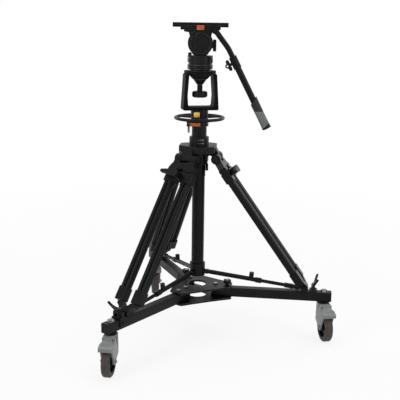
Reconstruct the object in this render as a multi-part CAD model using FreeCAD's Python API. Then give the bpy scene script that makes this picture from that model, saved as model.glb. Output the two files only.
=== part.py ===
import FreeCAD, Part
import math
import os

# Camera pedestal: three-wheeled folding ground dolly, tripod with ground
# spreader, lifting column with steering ring, bowl yoke, fluid head, pan bar.
# Millimetres. Origin on the column axis at floor level, +Z up.
# -Y is the side that faces a person who stands in front of it, and the
# sliding camera plate runs along X.

os.makedirs("parts", exist_ok=True)

# Fits
running_fit = 0.08   # shaft in its bore, on the radius
seat_gap = 0.3       # faces of two pieces that pass each other
overrun = 2.0        # how far a cutting body runs past the face it opens

# Wheels and their hooded housings
wheel_radius = 62.5
tread_width = 33.0
tread_corner = 5.0
tyre_depth = 17.0
rim_wall = 3.0
hub_radius = 15.0
axle_radius = 5.0
axle_head_radius = 8.0
axle_head = 3.0
wheel_side_gap = 2.0
wheel_top_gap = 4.0
hood_wall = 4.0
hood_width = 50.0
hood_top = 158.0
hood_corner = 12.0
hood_edge = 3.0
caster_trail = 38.0
axle_boss = 14.0
race_radius = 23.0
king_pin_radius = 6.0
king_pin_depth = 24.0     # how far the pin reaches down into the hood
pedal_width = 55.0
pedal_root_width = 28.0
pedal_thickness = 5.0
pedal_pivot_rise = 150.0
pedal_pivot_reach = 34.0
pedal_length = 58.0
pedal_drop = 17.0
pedal_lip = 14.0
pedal_neck_share = 0.6    # of its length, where the pedal has its full width
pedal_pin_radius = 3.0
pedal_swing = 9.0         # degrees of room for the brake stroke

# Ground dolly
arm_names = ("front", "right", "rear")
arm_turns = (-127.0, -7.0, 113.0)
trail_turns = (-98.0, -80.5, -83.5)
arm_spread = 120.0        # degrees from one arm to the next
arm_width = 39.0
arm_height = 40.0
arm_wall = 3.0
arm_corner = 4.0
arm_bottom = 166.5
arm_past_stem = 28.0      # from the swivel axis to the tube's outer end
end_cap = 4.0
stem_reach = 543.0        # radius of the wheel's swivel axis
stem_nut_across = 24.0
stem_nut = 8.5
slip_gap = 0.2            # arm between the two hub plates
hub_plate = 8.0
hub_tip_reach = 150.0
hub_tip_half = 30.0
hub_tip_corner = 8.0
hub_waist = 97.0
hub_hole = 39.0
pivot_reach = 80.0
lock_reach = 130.0
bolt_radius = 5.0
bolt_across = 17.0
bolt_head = 6.0
bush_wall = 4.0
star_radius = 17.0
star_lobes = 5
star_lobe = 6.0
star_height = 14.0
star_neck_radius = 8.0
star_neck = 7.0

# Foot clamps on the arms
toe_to_stem = 81.0        # from the foot's rounded toe to the swivel axis
toe_radius = 14.5
toe_half = 22.0
toe_play = 5.0            # room in front of the toe when the tripod rises
saddle_length = 32.0
saddle_wall = 4.5
saddle_cap = 8.0
saddle_skirt = 29.0
saddle_bolt_drop = 18.0
saddle_ear = 7.0
lever_pivot_rise = 13.0
lever_hub_radius = 8.0
lever_pin_radius = 4.0
lever_plate = 9.0
lever_lean = 22.0         # degrees outward from upright
lever_waist = 13.0
lever_neck = 11.0         # how far the waist reaches up
horn_half = 41.0
horn_rise = 43.0
horn_dip = 25.0           # the lowest place of the edge between the horns
horn_tip = 3.5
horn_bow = (25.0, 23.0)   # where the hollow side passes, across and up

# Tripod
hinge_reach = 76.0
hinge_rise = 768.0
hinge_pin_radius = 6.0
spider_lug_half = 22.0
spider_lug_radius = 17.0
ear_radius = 20.0
leg_top_half = 53.0
beam_width = 21.0
beam_depth = 30.0
beam_wall = 2.0
outer_beam = 53.0         # centre of the outboard tube from the leg's middle
inner_beam = 31.0
leg_half = 64.5
leg_block_depth = 28.0
leg_block_end = 62.0
leg_web_start = 24.0
leg_band = 14.0
leg_band_proud = 3.0
casting_edge = 2.0
guide_length = 54.0
guide_depth = 35.0
clamp_start = 66.0
clamp_length = 45.0
clamp_depth = 37.0
clamp_lip = 2.0
clamp_collar = 10.0
clamp_collar_wall = 3.0
tube_play = 0.5
foot_start_gap = 3.0
foot_start = 38.0         # from the toe's centre up to the guides
foot_taper = 12.0
foot_depth = 30.0
foot_half = 43.0
crotch_depth = 14.0
crotch_half = 20.0
foot_waist = 4.0          # how far the foot's sides draw in
guide_corner = 5.0
leg_stud_radius = 5.0
pin_head = 3.0
knob_boss_radius = 13.0
knob_boss = 5.0
leg_knob_radius = 16.0
leg_knob_height = 27.0
leg_lever_reach = 72.0
leg_lever_width = 14.0
leg_lever_thickness = 12.0
leg_lever_place_share = 0.25   # of the clamp's length
spider_over_hinge = 52.0
spider_fascia = 25.0
spider_reach = 70.0
spider_half = 52.0
spider_edge = 5.0
spider_barrel = 37.0
spider_height = 79.0
spider_arch_reach = 48.0
spider_arch_radius = 10.0
split_radius = 40.5
split_height = 34.0
split_lug = 12.0
split_slot = 3.0
split_screw_radius = 3.5
split_screw_head = 3.0
split_screw_shares = (0.3, 0.7)
split_screw_head_share = 1.6
split_screw_place_share = 0.33

# Column
column_clearance = 48.5   # from the arms up to the column
column_radius = 26.3
column_bore = 23.1
sleeve_below_hinge = 80.0
sleeve_radius = 28.0
neck_sleeve_radius = 31.0
column_over_spider = 101.0
collar_radius = 33.0
collar_height = 54.0
head_ring_radius = 38.0
head_ring_height = 20.0
head_lug_reach = 52.0
head_lug_half = 9.0
column_lip = 2.0
brake_place = 22.0
lock_pivot_place = -3.0
lock_fork = 3.0
small_knob_drop = 42.5     # below the hinges
small_knob_radius = 15.0
small_knob_length = 11.0
small_knob_flutes = 10
small_knob_flute = 2.5

# Ground spreader
spreader_pivot_reach = 43.0
spreader_pivot_height = 15.0
spreader_end_inset = 31.6  # from the foot's toe inward
spreader_end_drop = 1.3    # below the toe's centre
spreader_tube = 9.5
spreader_rod = 7.5
spreader_tube_length = 234.0
spreader_overlap = 150.0
spreader_eye = 9.0
spreader_cheek_radius = 7.75
spreader_eye_half = 8.0
spreader_tongue = 6.5      # half the height of the flat behind the eye
spreader_pin = 4.0
lug_wall = 5.0
tongue_half = 6.0
tongue_radius = 7.0
end_block_length = 39.0
end_block_half = 9.0
end_block_gap = 17.0
end_block_corner = 3.0
heel_radius = 9.0
spreader_knob_place = 190.0
spreader_knob_radius = 10.0
spreader_knob_height = 17.0
spreader_boss = 13.0

# Lifting ram, steering ring and its controls
ram_radius = 23.0
ram_wall = 3.0
ram_inset = 20.0          # inside the column's lower end
ram_head_radius = 36.0
ram_head_over_ring = 33.0
ring_over_column = 11.0
ring_radius = 98.3
ring_tube = 6.5
spoke_radius = 5.0
ring_hub_height = 14.0
ring_hub_wall = 9.0
spoke_count = 3
lock_lever_length = 34.0
lock_lever_thickness = 9.0
lock_pin_radius = 2.5
lock_pivot_radius = 7.0
brake_blade_length = 31.0
brake_blade_width = 9.0
brake_blade_thickness = 6.0
release_half = 12.0
release_height = 20.0
release_corner = 4.0
release_length = 14.0
release_pin = 4.0
release_place = -11.0
release_pocket_share = 0.85   # of the ram head's radius
release_over_ring = 17.0

# Bowl yoke
yoke_turn = 12.0
yoke_depth = 60.0
yoke_bar = 14.0
yoke_bottom_half = 74.0
yoke_top_half = 65.0
yoke_window_foot = 53.0
yoke_window_waist = 56.0
yoke_waist_height = 59.0
yoke_window_top = 49.5
yoke_corner = 8.0
yoke_shoulder = 6.0
yoke_height = 159.0
bowl_flange = 12.0
bowl_flange_radius = 65.0
ball_radius = 49.7

# Fluid head
ball_neck_radius = 44.0
seat_depth = 15.0         # below the bowl's rim the round seat turns into a cone
cone_step_depth = 34.0    # below the bowl's rim
cone_step_radius = 30.6
cone_step = 2.6
cone_depth = 55.0
base_over_bowl = 7.0
base_radius = 51.5
base_groove = 4.0
base_steps_share = (0.0, 0.27, 0.40, 0.68, 0.79, 1.0)
ball_base_height = 18.0
stem_radius = 11.0
stem_drop = 53.0          # below the cone
tie_knob_radius = 31.5
tie_knob_height = 25.0
tie_knob_lobes = 6
tie_knob_notch = 9.0
tie_knob_edge = 8.0
tie_knob_notch_share = 0.6   # of its radius outside the rim
tilt_over_base = 86.0
drum_radius = 50.5
drum_half = 36.0
core_half = 14.5
core_radius = 46.0
core_foot_half = 34.0
dial_radius = 28.0
dial_proud = 4.0
dial_groove_outer = 42.0
dial_groove_inner = 39.0
dial_groove_depth = 1.5
boss_place = (-26.0, 34.0)   # from the tilt axis
boss_radius = 10.0
boss_proud = 2.5
level_place = (-42.0, -12.0)
level_radius = 7.0
level_height = 12.0
side_block_turn = -38.0   # degrees from +X
side_block_reach = 57.0
side_block_half = 9.0
side_block_height = 24.0
tilt_axle_radius = 9.0
neck_half = 43.0
neck_shoulder_half = 47.0
neck_step_half = 66.0
neck_low = 28.0
neck_shoulder = 42.0
neck_step = 45.0
platform_over_tilt = 52.0
platform_height = 17.0
platform_half = 80.0
platform_depth = 78.0
platform_edge = 4.0
channel_depth = 7.0
dovetail_half = 25.0
dovetail_slant = 4.0
plate_half = 111.5
plate_height = 11.0       # above the platform
plate_width = 60.0
plate_edge = 3.0
screw_slot_length = 60.0
screw_slot_half = 4.8
screw_slot_place = 50.0
button_half = 15.0
button_height = 18.0
button_depth = 5.0
button_travel = 3.0
button_stem_half = 6.0
button_stem_height = 8.0
button_stem = 12.0
drag_radius = 24.0
drag_thickness = 13.0
drag_drop = 10.0          # below the tilt axis
drag_shaft = 6.0
drag_flutes = 12
drag_flute = 3.0

# Pan bar
handle_plane = -52.0      # the bar's centre in Y
rosette_reach = 58.5
rosette_over_tilt = 51.0
rosette_radius = 15.0
rosette_width = 12.0
bend_run = 53.5           # from the rosette outward
bend_drop = 70.0
grip_end_run = 162.5      # from the bend outward
grip_end_drop = 317.0
bar_radius = 11.0
bar_inner = 8.5
bar_bore_start = 20.0
bar_engaged = 130.0       # how far the bent tube reaches into the straight one
lower_radius = 13.2
bar_clamp_radius = 16.0
bar_clamp_length = 50.0
bar_clamp_start = 36.0
bend_turn_radius = 130.0
rosette_proud = 1.5       # of the neck's face in front of the tube
rosette_neck_share = 0.8
grip_length = 136.0
grip_radius = 18.5
grip_waist = 17.5
grip_slant = 24.0         # how far its upper edge slants
grip_cap = 17.0           # the cap's height on its long side
grip_cap_short = 2.0
wing_stud = 4.0
wing_neck = 6.0
wing_hub = 9.0
wing_hub_place = 11.0     # its centre from the clamp
wing_half = 16.0
wing_tip = 7.0
wing_thickness = 9.0
wing_eye = 3.5

# Places worked out from the sizes above
V = FreeCAD.Vector
ORIGIN = V(0, 0, 0)
X = V(1, 0, 0)
Y = V(0, 1, 0)
Z = V(0, 0, 1)
arm_top = arm_bottom + arm_height
arm_reach = stem_reach + arm_past_stem
toe_reach = stem_reach - toe_to_stem
toe_rise = arm_top + seat_gap + toe_radius
leg_run = toe_reach - hinge_reach
spider_rise = hinge_rise + spider_over_hinge
spider_bottom = spider_rise - spider_height
column_bottom = arm_top + column_clearance
sleeve_bottom = hinge_rise - sleeve_below_hinge
column_top = spider_rise + column_over_spider
small_knob_rise = hinge_rise - small_knob_drop
spreader_pivot_rise = column_bottom + spreader_pivot_height
spreader_end_reach = toe_reach - spreader_end_inset
spreader_end_rise = toe_rise - spreader_end_drop
ram_bottom = column_bottom + ram_inset
ring_rise = column_top + ring_over_column
ram_head_top = ring_rise + ram_head_over_ring
release_rise = ring_rise + release_over_ring
yoke_waist_rise = ram_head_top + yoke_waist_height
bowl_rise = ram_head_top + yoke_height
cone_step_rise = bowl_rise - cone_step_depth
cone_bottom = bowl_rise - cone_depth
base_bottom = bowl_rise + base_over_bowl
base_split = base_bottom + ball_base_height
stem_bottom = cone_bottom - stem_drop
tilt_rise = base_split + tilt_over_base
platform_bottom = tilt_rise + platform_over_tilt
platform_top = platform_bottom + platform_height
plate_top = platform_top + plate_height
drag_rise = tilt_rise - drag_drop
rosette_rise = tilt_rise + rosette_over_tilt
bend_reach = rosette_reach + bend_run
bend_rise = rosette_rise - bend_drop
grip_end_reach = bend_reach + grip_end_run
grip_end_rise = bend_rise - grip_end_drop
leg_drop = hinge_rise - toe_rise
leg_length = math.hypot(leg_run, leg_drop)
leg_slope = math.degrees(math.atan2(leg_drop, leg_run))
spreader_run = spreader_end_reach - spreader_pivot_reach
spreader_fall = spreader_pivot_rise - spreader_end_rise
spreader_length = math.hypot(spreader_run, spreader_fall)
spreader_slope = math.degrees(math.atan2(spreader_fall, spreader_run))
wheel_centre = V(caster_trail, 0, wheel_radius)
hood_radius = wheel_radius + wheel_top_gap + hood_wall


def rod(radius, start, end):
    """Round bar between two points."""
    run = end - start
    return Part.makeCylinder(radius, run.Length, start, run)


def box(low, high):
    """Block between two opposite corners."""
    size = high - low
    return Part.makeBox(size.x, size.y, size.z, low)


def sheet(points, thickness):
    """Flat outline pushed along a vector."""
    return Part.Face(Part.makePolygon(points + points[:1])).extrude(thickness)


def lathe(profile, centre, axis):
    """Outline of (radius, height) pairs turned about an axis."""
    side = Y if abs(axis.y) < 1 else X
    points = [centre + side * radius + axis * height for radius, height in profile]
    return Part.Face(Part.makePolygon(points + points[:1])).revolve(centre, axis, 360)


def join(shapes):
    """One solid from shapes that meet."""
    return shapes[0].multiFuse(shapes[1:]).removeSplitter()


def rounded(shape, radius, along):
    """The same shape with its straight edges along one direction rounded."""
    edges = []
    for edge in shape.Edges:
        straight = edge.Curve.TypeId == "Part::GeomLine"
        if straight and abs(edge.tangentAt(edge.FirstParameter).dot(along)) > 1 - 1e-6:
            edges.append(edge)
    return shape.makeFillet(radius, edges)


def fluted(shape, count, notch, reach, low, high):
    """Knob with round grooves along its rim; low and high are the ends of its axis."""
    axis = (high - low).normalize()
    side = Y if abs(axis.y) < 1 else X
    for flute in range(count):
        out = FreeCAD.Rotation(axis, 360 / count * flute).multVec(side) * reach
        shape = shape.cut(rod(notch, low + out - axis * overrun, high + out + axis * overrun))
    return shape


def hexagon(across, height, centre):
    """Upright six-sided prism."""
    reach = across / math.sqrt(3)
    points = []
    for side in range(6):
        angle = math.radians(60 * side)
        points.append(centre + V(reach * math.cos(angle), reach * math.sin(angle), 0))
    return sheet(points, Z * height)


def turned(shape, turn):
    """Copy of a shape turned about the column axis, in degrees."""
    copy = shape.copy()
    copy.rotate(ORIGIN, Z, turn)
    return copy


def save(name, shapes):
    """Write one node, which holds one or more separate solids."""
    node = shapes[0] if len(shapes) == 1 else Part.makeCompound(shapes)
    node.exportStep("parts/" + name + ".step")


# Casters. Each is drawn with its swivel axis at the origin and the wheel
# trailing along +X, then set under the end of its arm.

def on_circle(centre, radius, angle):
    """Point on an upright circle, the angle measured from +X towards +Z."""
    turn = math.radians(angle)
    return centre + V(radius * math.cos(turn), 0, radius * math.sin(turn))


def caster_housing():
    half = hood_width / 2
    front = V(-half, 0, hood_top)
    back = V(half, 0, hood_top)
    crown = on_circle(wheel_centre, hood_radius, 75)
    shoulder = on_circle(wheel_centre, hood_radius, 65)
    tail = on_circle(wheel_centre, hood_radius, 54)
    nose = on_circle(wheel_centre, hood_radius, 165)
    heel_back = on_circle(wheel_centre, axle_boss, -50)
    heel_front = on_circle(wheel_centre, axle_boss, -130)
    heel = on_circle(wheel_centre, axle_boss, -90)
    edges = [
        Part.makeLine(front, back),
        Part.makeLine(back, crown),
        Part.Arc(crown, shoulder, tail).toShape(),
        Part.makeLine(tail, heel_back),
        Part.Arc(heel_back, heel, heel_front).toShape(),
        Part.makeLine(heel_front, nose),
        Part.makeLine(nose, front),
    ]
    side = Part.Face(Part.Wire(edges))
    side.translate(Y * -half)
    body = side.extrude(Y * hood_width)
    slant = (front - nose).normalize()
    body = rounded(body, hood_corner, slant)
    rims = []
    for edge in body.Edges:
        middle = edge.valueAt((edge.FirstParameter + edge.LastParameter) / 2)
        at_side = abs(abs(middle.y) - half) < hood_edge
        if middle.z > wheel_centre.z and (at_side or middle.z > hood_top - 1e-6):
            rims.append(edge)
    body = body.makeFillet(hood_edge, rims)
    race = Part.makeCylinder(race_radius, arm_bottom - seat_gap - hood_top, V(0, 0, hood_top), Z)
    body = body.fuse(race)
    room = tread_width / 2 + wheel_side_gap
    well = rod(wheel_radius + wheel_top_gap, wheel_centre - Y * room, wheel_centre + Y * room)
    body = body.cut(well)
    reach = half + overrun
    body = body.cut(rod(axle_radius, wheel_centre - Y * reach, wheel_centre + Y * reach))
    bore = king_pin_radius + running_fit
    foot = hood_top - king_pin_depth - seat_gap
    body = body.cut(rod(bore, V(0, 0, foot), V(0, 0, arm_bottom + overrun)))
    pivot = V(pedal_pivot_reach, 0, pedal_pivot_rise)
    slot_half = pedal_root_width / 2 + seat_gap
    eye = pedal_thickness
    slot = rod(eye + seat_gap, pivot - Y * slot_half, pivot + Y * slot_half)
    ears = rod(eye, pivot - Y * half, pivot + Y * half).cut(
        rod(eye + seat_gap, pivot - Y * slot_half, pivot + Y * slot_half))
    dip = math.atan2(pedal_drop, pedal_length - pedal_thickness) + math.radians(pedal_swing)
    run = V(math.cos(dip), 0, -math.sin(dip)) * pedal_length
    under = V(-math.sin(dip), 0, -math.cos(dip)) * (pedal_thickness / 2 + 2 * seat_gap)
    stroke_half = pedal_root_width / 2 + pedal_thickness
    low = pivot + under - Y * stroke_half
    high = pivot - Y * stroke_half + Z * pedal_length
    stroke = sheet([low, low + run, high + run, high], Y * (2 * stroke_half))
    body = join([body.cut(slot).cut(stroke), ears])
    body = body.cut(rod(pedal_pin_radius, pivot - Y * reach, pivot + Y * reach))
    axle = rod(axle_radius, wheel_centre - Y * half, wheel_centre + Y * half)
    heads = []
    for way in (-1, 1):
        start = wheel_centre + Y * (way * half)
        heads.append(rod(axle_head_radius, start, start + Y * (way * axle_head)))
    axle = join([axle] + heads)
    pin = rod(pedal_pin_radius, pivot - Y * half, pivot + Y * half)
    return [body.removeSplitter(), axle, pin]


def caster_wheel():
    half = tread_width / 2
    inner = wheel_radius - tyre_depth
    corner = tread_corner
    tread = lathe([(inner, -half), (wheel_radius - corner, -half), (wheel_radius, corner - half),
                   (wheel_radius, half - corner), (wheel_radius - corner, half), (inner, half)],
                  wheel_centre, Y)
    web = rim_wall / 2 + rim_wall
    bore = axle_radius + running_fit
    face = half - rim_wall / 2
    core = lathe([(bore, -half), (hub_radius, -half), (hub_radius, -web), (inner - rim_wall, -web),
                  (inner - rim_wall, -face), (inner, -face), (inner, face), (inner - rim_wall, face),
                  (inner - rim_wall, web), (hub_radius, web), (hub_radius, half), (bore, half)],
                 wheel_centre, Y)
    return [tread, core]


def caster_pedal():
    pivot = V(pedal_pivot_reach, 0, pedal_pivot_rise)
    end = pedal_pivot_reach + pedal_length
    thick = pedal_thickness
    low = pedal_pivot_rise - pedal_drop
    side = [V(pedal_pivot_reach, 0, pedal_pivot_rise + thick / 2), V(end - thick, 0, low + thick / 2),
            V(end, 0, low), V(end, 0, low - pedal_lip), V(end - thick, 0, low - pedal_lip),
            V(end - thick, 0, low - thick / 2), V(pedal_pivot_reach, 0, pedal_pivot_rise - thick / 2)]
    for point in side:
        point.y = -pedal_width / 2
    blade = sheet(side, Y * pedal_width)
    root = pedal_root_width / 2
    wide = pedal_width / 2
    neck = pedal_pivot_reach + pedal_length * pedal_neck_share
    plan = [V(pedal_pivot_reach - thick, -root, 0), V(pedal_pivot_reach + thick, -root, 0),
            V(neck, -wide, 0), V(end + overrun, -wide, 0), V(end + overrun, wide, 0), V(neck, wide, 0),
            V(pedal_pivot_reach + thick, root, 0), V(pedal_pivot_reach - thick, root, 0)]
    blade = blade.common(sheet(plan, Z * hood_top))
    eye = rod(thick, pivot - Y * root, pivot + Y * root)
    reach = root + overrun
    bore = rod(pedal_pin_radius + running_fit, pivot - Y * reach, pivot + Y * reach)
    return [join([blade, eye]).cut(bore)]


def save_casters():
    for name, arm_turn, trail_turn in zip(arm_names, arm_turns, trail_turns):
        stem = turned(Part.Vertex(V(stem_reach, 0, 0)), arm_turn).Point
        for piece, shapes in (("caster_housing", caster_housing()), ("caster_wheel", caster_wheel()),
                              ("caster_pedal", caster_pedal())):
            placed = [turned(shape, trail_turn).translate(stem) for shape in shapes]
            save(name + "_" + piece, placed)


# Ground dolly. Each arm is drawn along +X and turned to its own direction.

def hub_plate_at(bottom):
    edges = []
    for turn in arm_turns:
        corner = V(hub_tip_reach, hub_tip_half, bottom)
        points = [V(hub_tip_reach, -hub_tip_half, bottom), corner]
        tip_start, tip_end = [turned(Part.Vertex(p), turn).Point for p in points]
        waist = turned(Part.Vertex(V(hub_waist, 0, bottom)), turn + arm_spread / 2).Point
        following = V(hub_tip_reach, -hub_tip_half, bottom)
        next_start = turned(Part.Vertex(following), turn + arm_spread).Point
        edges.append(Part.makeLine(tip_start, tip_end))
        edges.append(Part.Arc(tip_end, waist, next_start).toShape())
    plate = Part.Face(Part.Wire(edges)).extrude(Z * hub_plate)
    upright = []
    for edge in plate.Edges:
        if edge.Curve.TypeId == "Part::GeomLine" and abs(edge.tangentAt(0).z) > 1 - 1e-6:
            upright.append(edge)
    plate = plate.makeFillet(hub_tip_corner, upright)
    past = V(0, 0, bottom - overrun)
    deep = hub_plate + 2 * overrun
    plate = plate.cut(Part.makeCylinder(hub_hole, deep, past, Z))
    for turn in arm_turns:
        for reach in (pivot_reach, lock_reach):
            hole = Part.makeCylinder(bolt_radius, deep, V(reach, 0, bottom - overrun), Z)
            plate = plate.cut(turned(hole, turn))
    return plate


def hub_bolts():
    bottom = arm_bottom - slip_gap - hub_plate
    top = arm_top + slip_gap + hub_plate
    shapes = []
    for name, turn in zip(arm_names, arm_turns):
        places = (pivot_reach, lock_reach) if name == "front" else (pivot_reach,)
        for reach in places:
            shank = rod(bolt_radius, V(reach, 0, bottom), V(reach, 0, top))
            head = hexagon(bolt_across, bolt_head, V(reach, 0, top))
            nut = hexagon(bolt_across, bolt_head, V(reach, 0, bottom - bolt_head))
            shapes.append(turned(join([shank, head, nut]), turn))
    return shapes


def arm():
    half = arm_width / 2
    tube = box(V(pivot_reach, -half, arm_bottom), V(arm_reach, half, arm_top))
    nose = Part.makeCylinder(half, arm_height, V(pivot_reach, 0, arm_bottom), Z)
    outside = rounded(box(V(pivot_reach - half, -half, arm_bottom), V(arm_reach, half, arm_top)),
                      arm_corner, X)
    outside = outside.common(tube.fuse(nose))
    room = half - arm_wall
    low = arm_bottom + arm_wall
    high = arm_top - arm_wall
    inside = box(V(pivot_reach, -room, low), V(arm_reach + overrun, room, high))
    inside = inside.fuse(Part.makeCylinder(room, high - low, V(pivot_reach, 0, low), Z))
    body = outside.cut(inside)
    for reach in (pivot_reach, lock_reach, stem_reach):
        pin = king_pin_radius if reach == stem_reach else bolt_radius
        body = body.fuse(rod(pin + bush_wall, V(reach, 0, low), V(reach, 0, high)))
        bore = rod(pin + running_fit, V(reach, 0, arm_bottom - overrun), V(reach, 0, arm_top + overrun))
        body = body.cut(bore)
    across = half + overrun
    cross = V(toe_reach + toe_radius + toe_play + saddle_length / 2, 0, arm_top - saddle_bolt_drop)
    body = body.cut(rod(bolt_radius, cross - Y * across, cross + Y * across)).removeSplitter()
    cap = box(V(arm_reach, -half, arm_bottom), V(arm_reach + end_cap, half, arm_top))
    cap = rounded(cap, arm_corner, X)
    plug = box(V(arm_reach - end_cap, -room, low), V(arm_reach, room, high))
    cap = join([cap, plug])
    pin_foot = V(stem_reach, 0, hood_top - king_pin_depth)
    pin = rod(king_pin_radius, pin_foot, V(stem_reach, 0, arm_top + stem_nut))
    nut = hexagon(stem_nut_across, stem_nut, V(stem_reach, 0, arm_top))
    return [body, cap, join([pin, nut])]


def foot_clamp():
    start = toe_reach + toe_radius + toe_play
    end = start + saddle_length
    half = arm_width / 2
    outer = half + saddle_wall
    body = box(V(start, -outer, arm_top - saddle_skirt), V(end, outer, arm_top + saddle_cap))
    body = rounded(body, saddle_wall, X)
    room = box(V(start - overrun, -half, arm_bottom), V(end + overrun, half, arm_top))
    body = body.cut(room)
    pivot = V(start + saddle_length / 2, 0, arm_top + saddle_cap + lever_pivot_rise)
    ear_place = lever_hub_radius * 2 + seat_gap
    ears = []
    for way in (-1, 1):
        inner = pivot + Y * (way * ear_place)
        rest = V(pivot.x, inner.y, arm_top + saddle_cap / 2)
        ear = rod(lever_hub_radius, inner, inner + Y * (way * saddle_ear))
        foot = box(V(rest.x - lever_hub_radius, min(inner.y, inner.y + way * saddle_ear), rest.z),
                   V(rest.x + lever_hub_radius, max(inner.y, inner.y + way * saddle_ear), pivot.z))
        ears.append(ear.fuse(foot))
    body = join([body] + ears)
    across = Y * (ear_place + saddle_ear)
    body = body.cut(rod(lever_pin_radius, pivot - across, pivot + across))
    pin = rod(lever_pin_radius, pivot - across, pivot + across)
    cross = V(pivot.x, 0, arm_top - saddle_bolt_drop)
    reach = Y * outer
    body = body.cut(rod(bolt_radius, cross - reach, cross + reach))
    bolt = rod(bolt_radius, cross - reach, cross + reach)
    heads = []
    for way in (-1, 1):
        seat = cross + Y * (way * outer)
        heads.append(rod(bolt_across / 2, seat, seat + Y * (way * bolt_head / 2)))
    return [body, pin, join([bolt] + heads)]


def foot_lever():
    """Lever plate with hollow sides that ends in two horns."""
    pivot = V(toe_reach + toe_radius + toe_play + saddle_length / 2, 0,
              arm_top + saddle_cap + lever_pivot_rise)
    root = lever_hub_radius * 2
    hub = rod(lever_hub_radius, pivot - Y * root, pivot + Y * root)
    face = pivot - X * (lever_plate / 2)
    edges = [Part.makeLine(face - Y * lever_waist, face + Y * lever_waist)]
    for way in (-1, 1):
        waist = face + V(0, way * lever_waist, lever_neck)
        bow = face + V(0, way * horn_bow[0], horn_bow[1])
        outer = face + V(0, way * horn_half, horn_rise)
        peak = face + V(0, way * (horn_half - horn_tip), horn_rise + horn_tip)
        inner = face + V(0, way * (horn_half - 2 * horn_tip), horn_rise)
        edges.append(Part.makeLine(face + Y * (way * lever_waist), waist))
        edges.append(Part.Arc(waist, bow, outer).toShape())
        edges.append(Part.Arc(outer, peak, inner).toShape())
    edges.append(Part.Arc(face + V(0, 2 * horn_tip - horn_half, horn_rise), face + Z * horn_dip,
                          face + V(0, horn_half - 2 * horn_tip, horn_rise)).toShape())
    outline = Part.Wire(Part.__sortEdges__(edges))
    plate = Part.Face(outline).extrude(X * lever_plate)
    lever = join([hub, plate])
    lever.rotate(pivot, Y, lever_lean)
    across = Y * (root + overrun)
    return [lever.cut(rod(lever_pin_radius + running_fit, pivot - across, pivot + across))]


def arm_lock_knob():
    foot = arm_top + slip_gap
    plate_top_face = foot + hub_plate
    stud = rod(bolt_radius - running_fit, V(lock_reach, 0, foot), V(lock_reach, 0, plate_top_face))
    neck_start = V(lock_reach, 0, plate_top_face + seat_gap)
    neck = rod(star_neck_radius, neck_start, neck_start + Z * star_neck)
    stud = stud.fuse(rod(bolt_radius - running_fit, V(lock_reach, 0, plate_top_face), neck_start))
    crown = neck_start + Z * star_neck
    core = rod(star_radius - star_lobe / 2, crown, crown + Z * star_height)
    shapes = [stud, neck, core]
    for lobe in range(star_lobes):
        angle = 2 * math.pi / star_lobes * lobe
        reach = star_radius - star_lobe
        place = crown + V(reach * math.cos(angle), reach * math.sin(angle), 0)
        shapes.append(rod(star_lobe, place, place + Z * star_height))
    return [join(shapes)]


def save_dolly():
    save("hub_top_plate", [hub_plate_at(arm_top + slip_gap)])
    save("hub_bottom_plate", [hub_plate_at(arm_bottom - slip_gap - hub_plate)])
    save("hub_bolts", hub_bolts())
    for name, turn in zip(arm_names, arm_turns):
        save(name + "_arm", [turned(shape, turn) for shape in arm()])
        save(name + "_foot_clamp", [turned(shape, turn) for shape in foot_clamp()])
        save(name + "_foot_lever", [turned(shape, turn) for shape in foot_lever()])
        if name != "front":
            save(name + "_arm_lock_knob", [turned(shape, turn) for shape in arm_lock_knob()])


# Tripod legs. Each is drawn with its hinge at the origin, its length along +X
# and its outer face towards +Z, then laid down to its slope and turned.

def lay_leg(shape, turn):
    copy = shape.copy()
    copy.rotate(ORIGIN, Y, leg_slope)
    copy.translate(V(hinge_reach, 0, hinge_rise))
    copy.rotate(ORIGIN, Z, turn)
    return copy


def oval_bar(start, end, middle, width, depth):
    """Straight bar of oval section along +X."""
    radius = width / 2
    flat = depth / 2 - radius
    low = V(start, middle, -flat)
    high = V(start, middle, flat)
    side = Y * radius
    edges = [
        Part.makeLine(low + side, high + side),
        Part.Arc(high + side, high + Z * radius, high - side).toShape(),
        Part.makeLine(high - side, low - side),
        Part.Arc(low - side, low - Z * radius, low + side).toShape(),
    ]
    return Part.Face(Part.Wire(edges)).extrude(X * (end - start))


def oval_tube(start, end, middle):
    """Hollow leg tube along +X."""
    outside = oval_bar(start, end, middle, beam_width, beam_depth)
    bore = oval_bar(start - overrun, end + overrun, middle, beam_width - 2 * beam_wall,
                    beam_depth - 2 * beam_wall)
    return outside.cut(bore)


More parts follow.
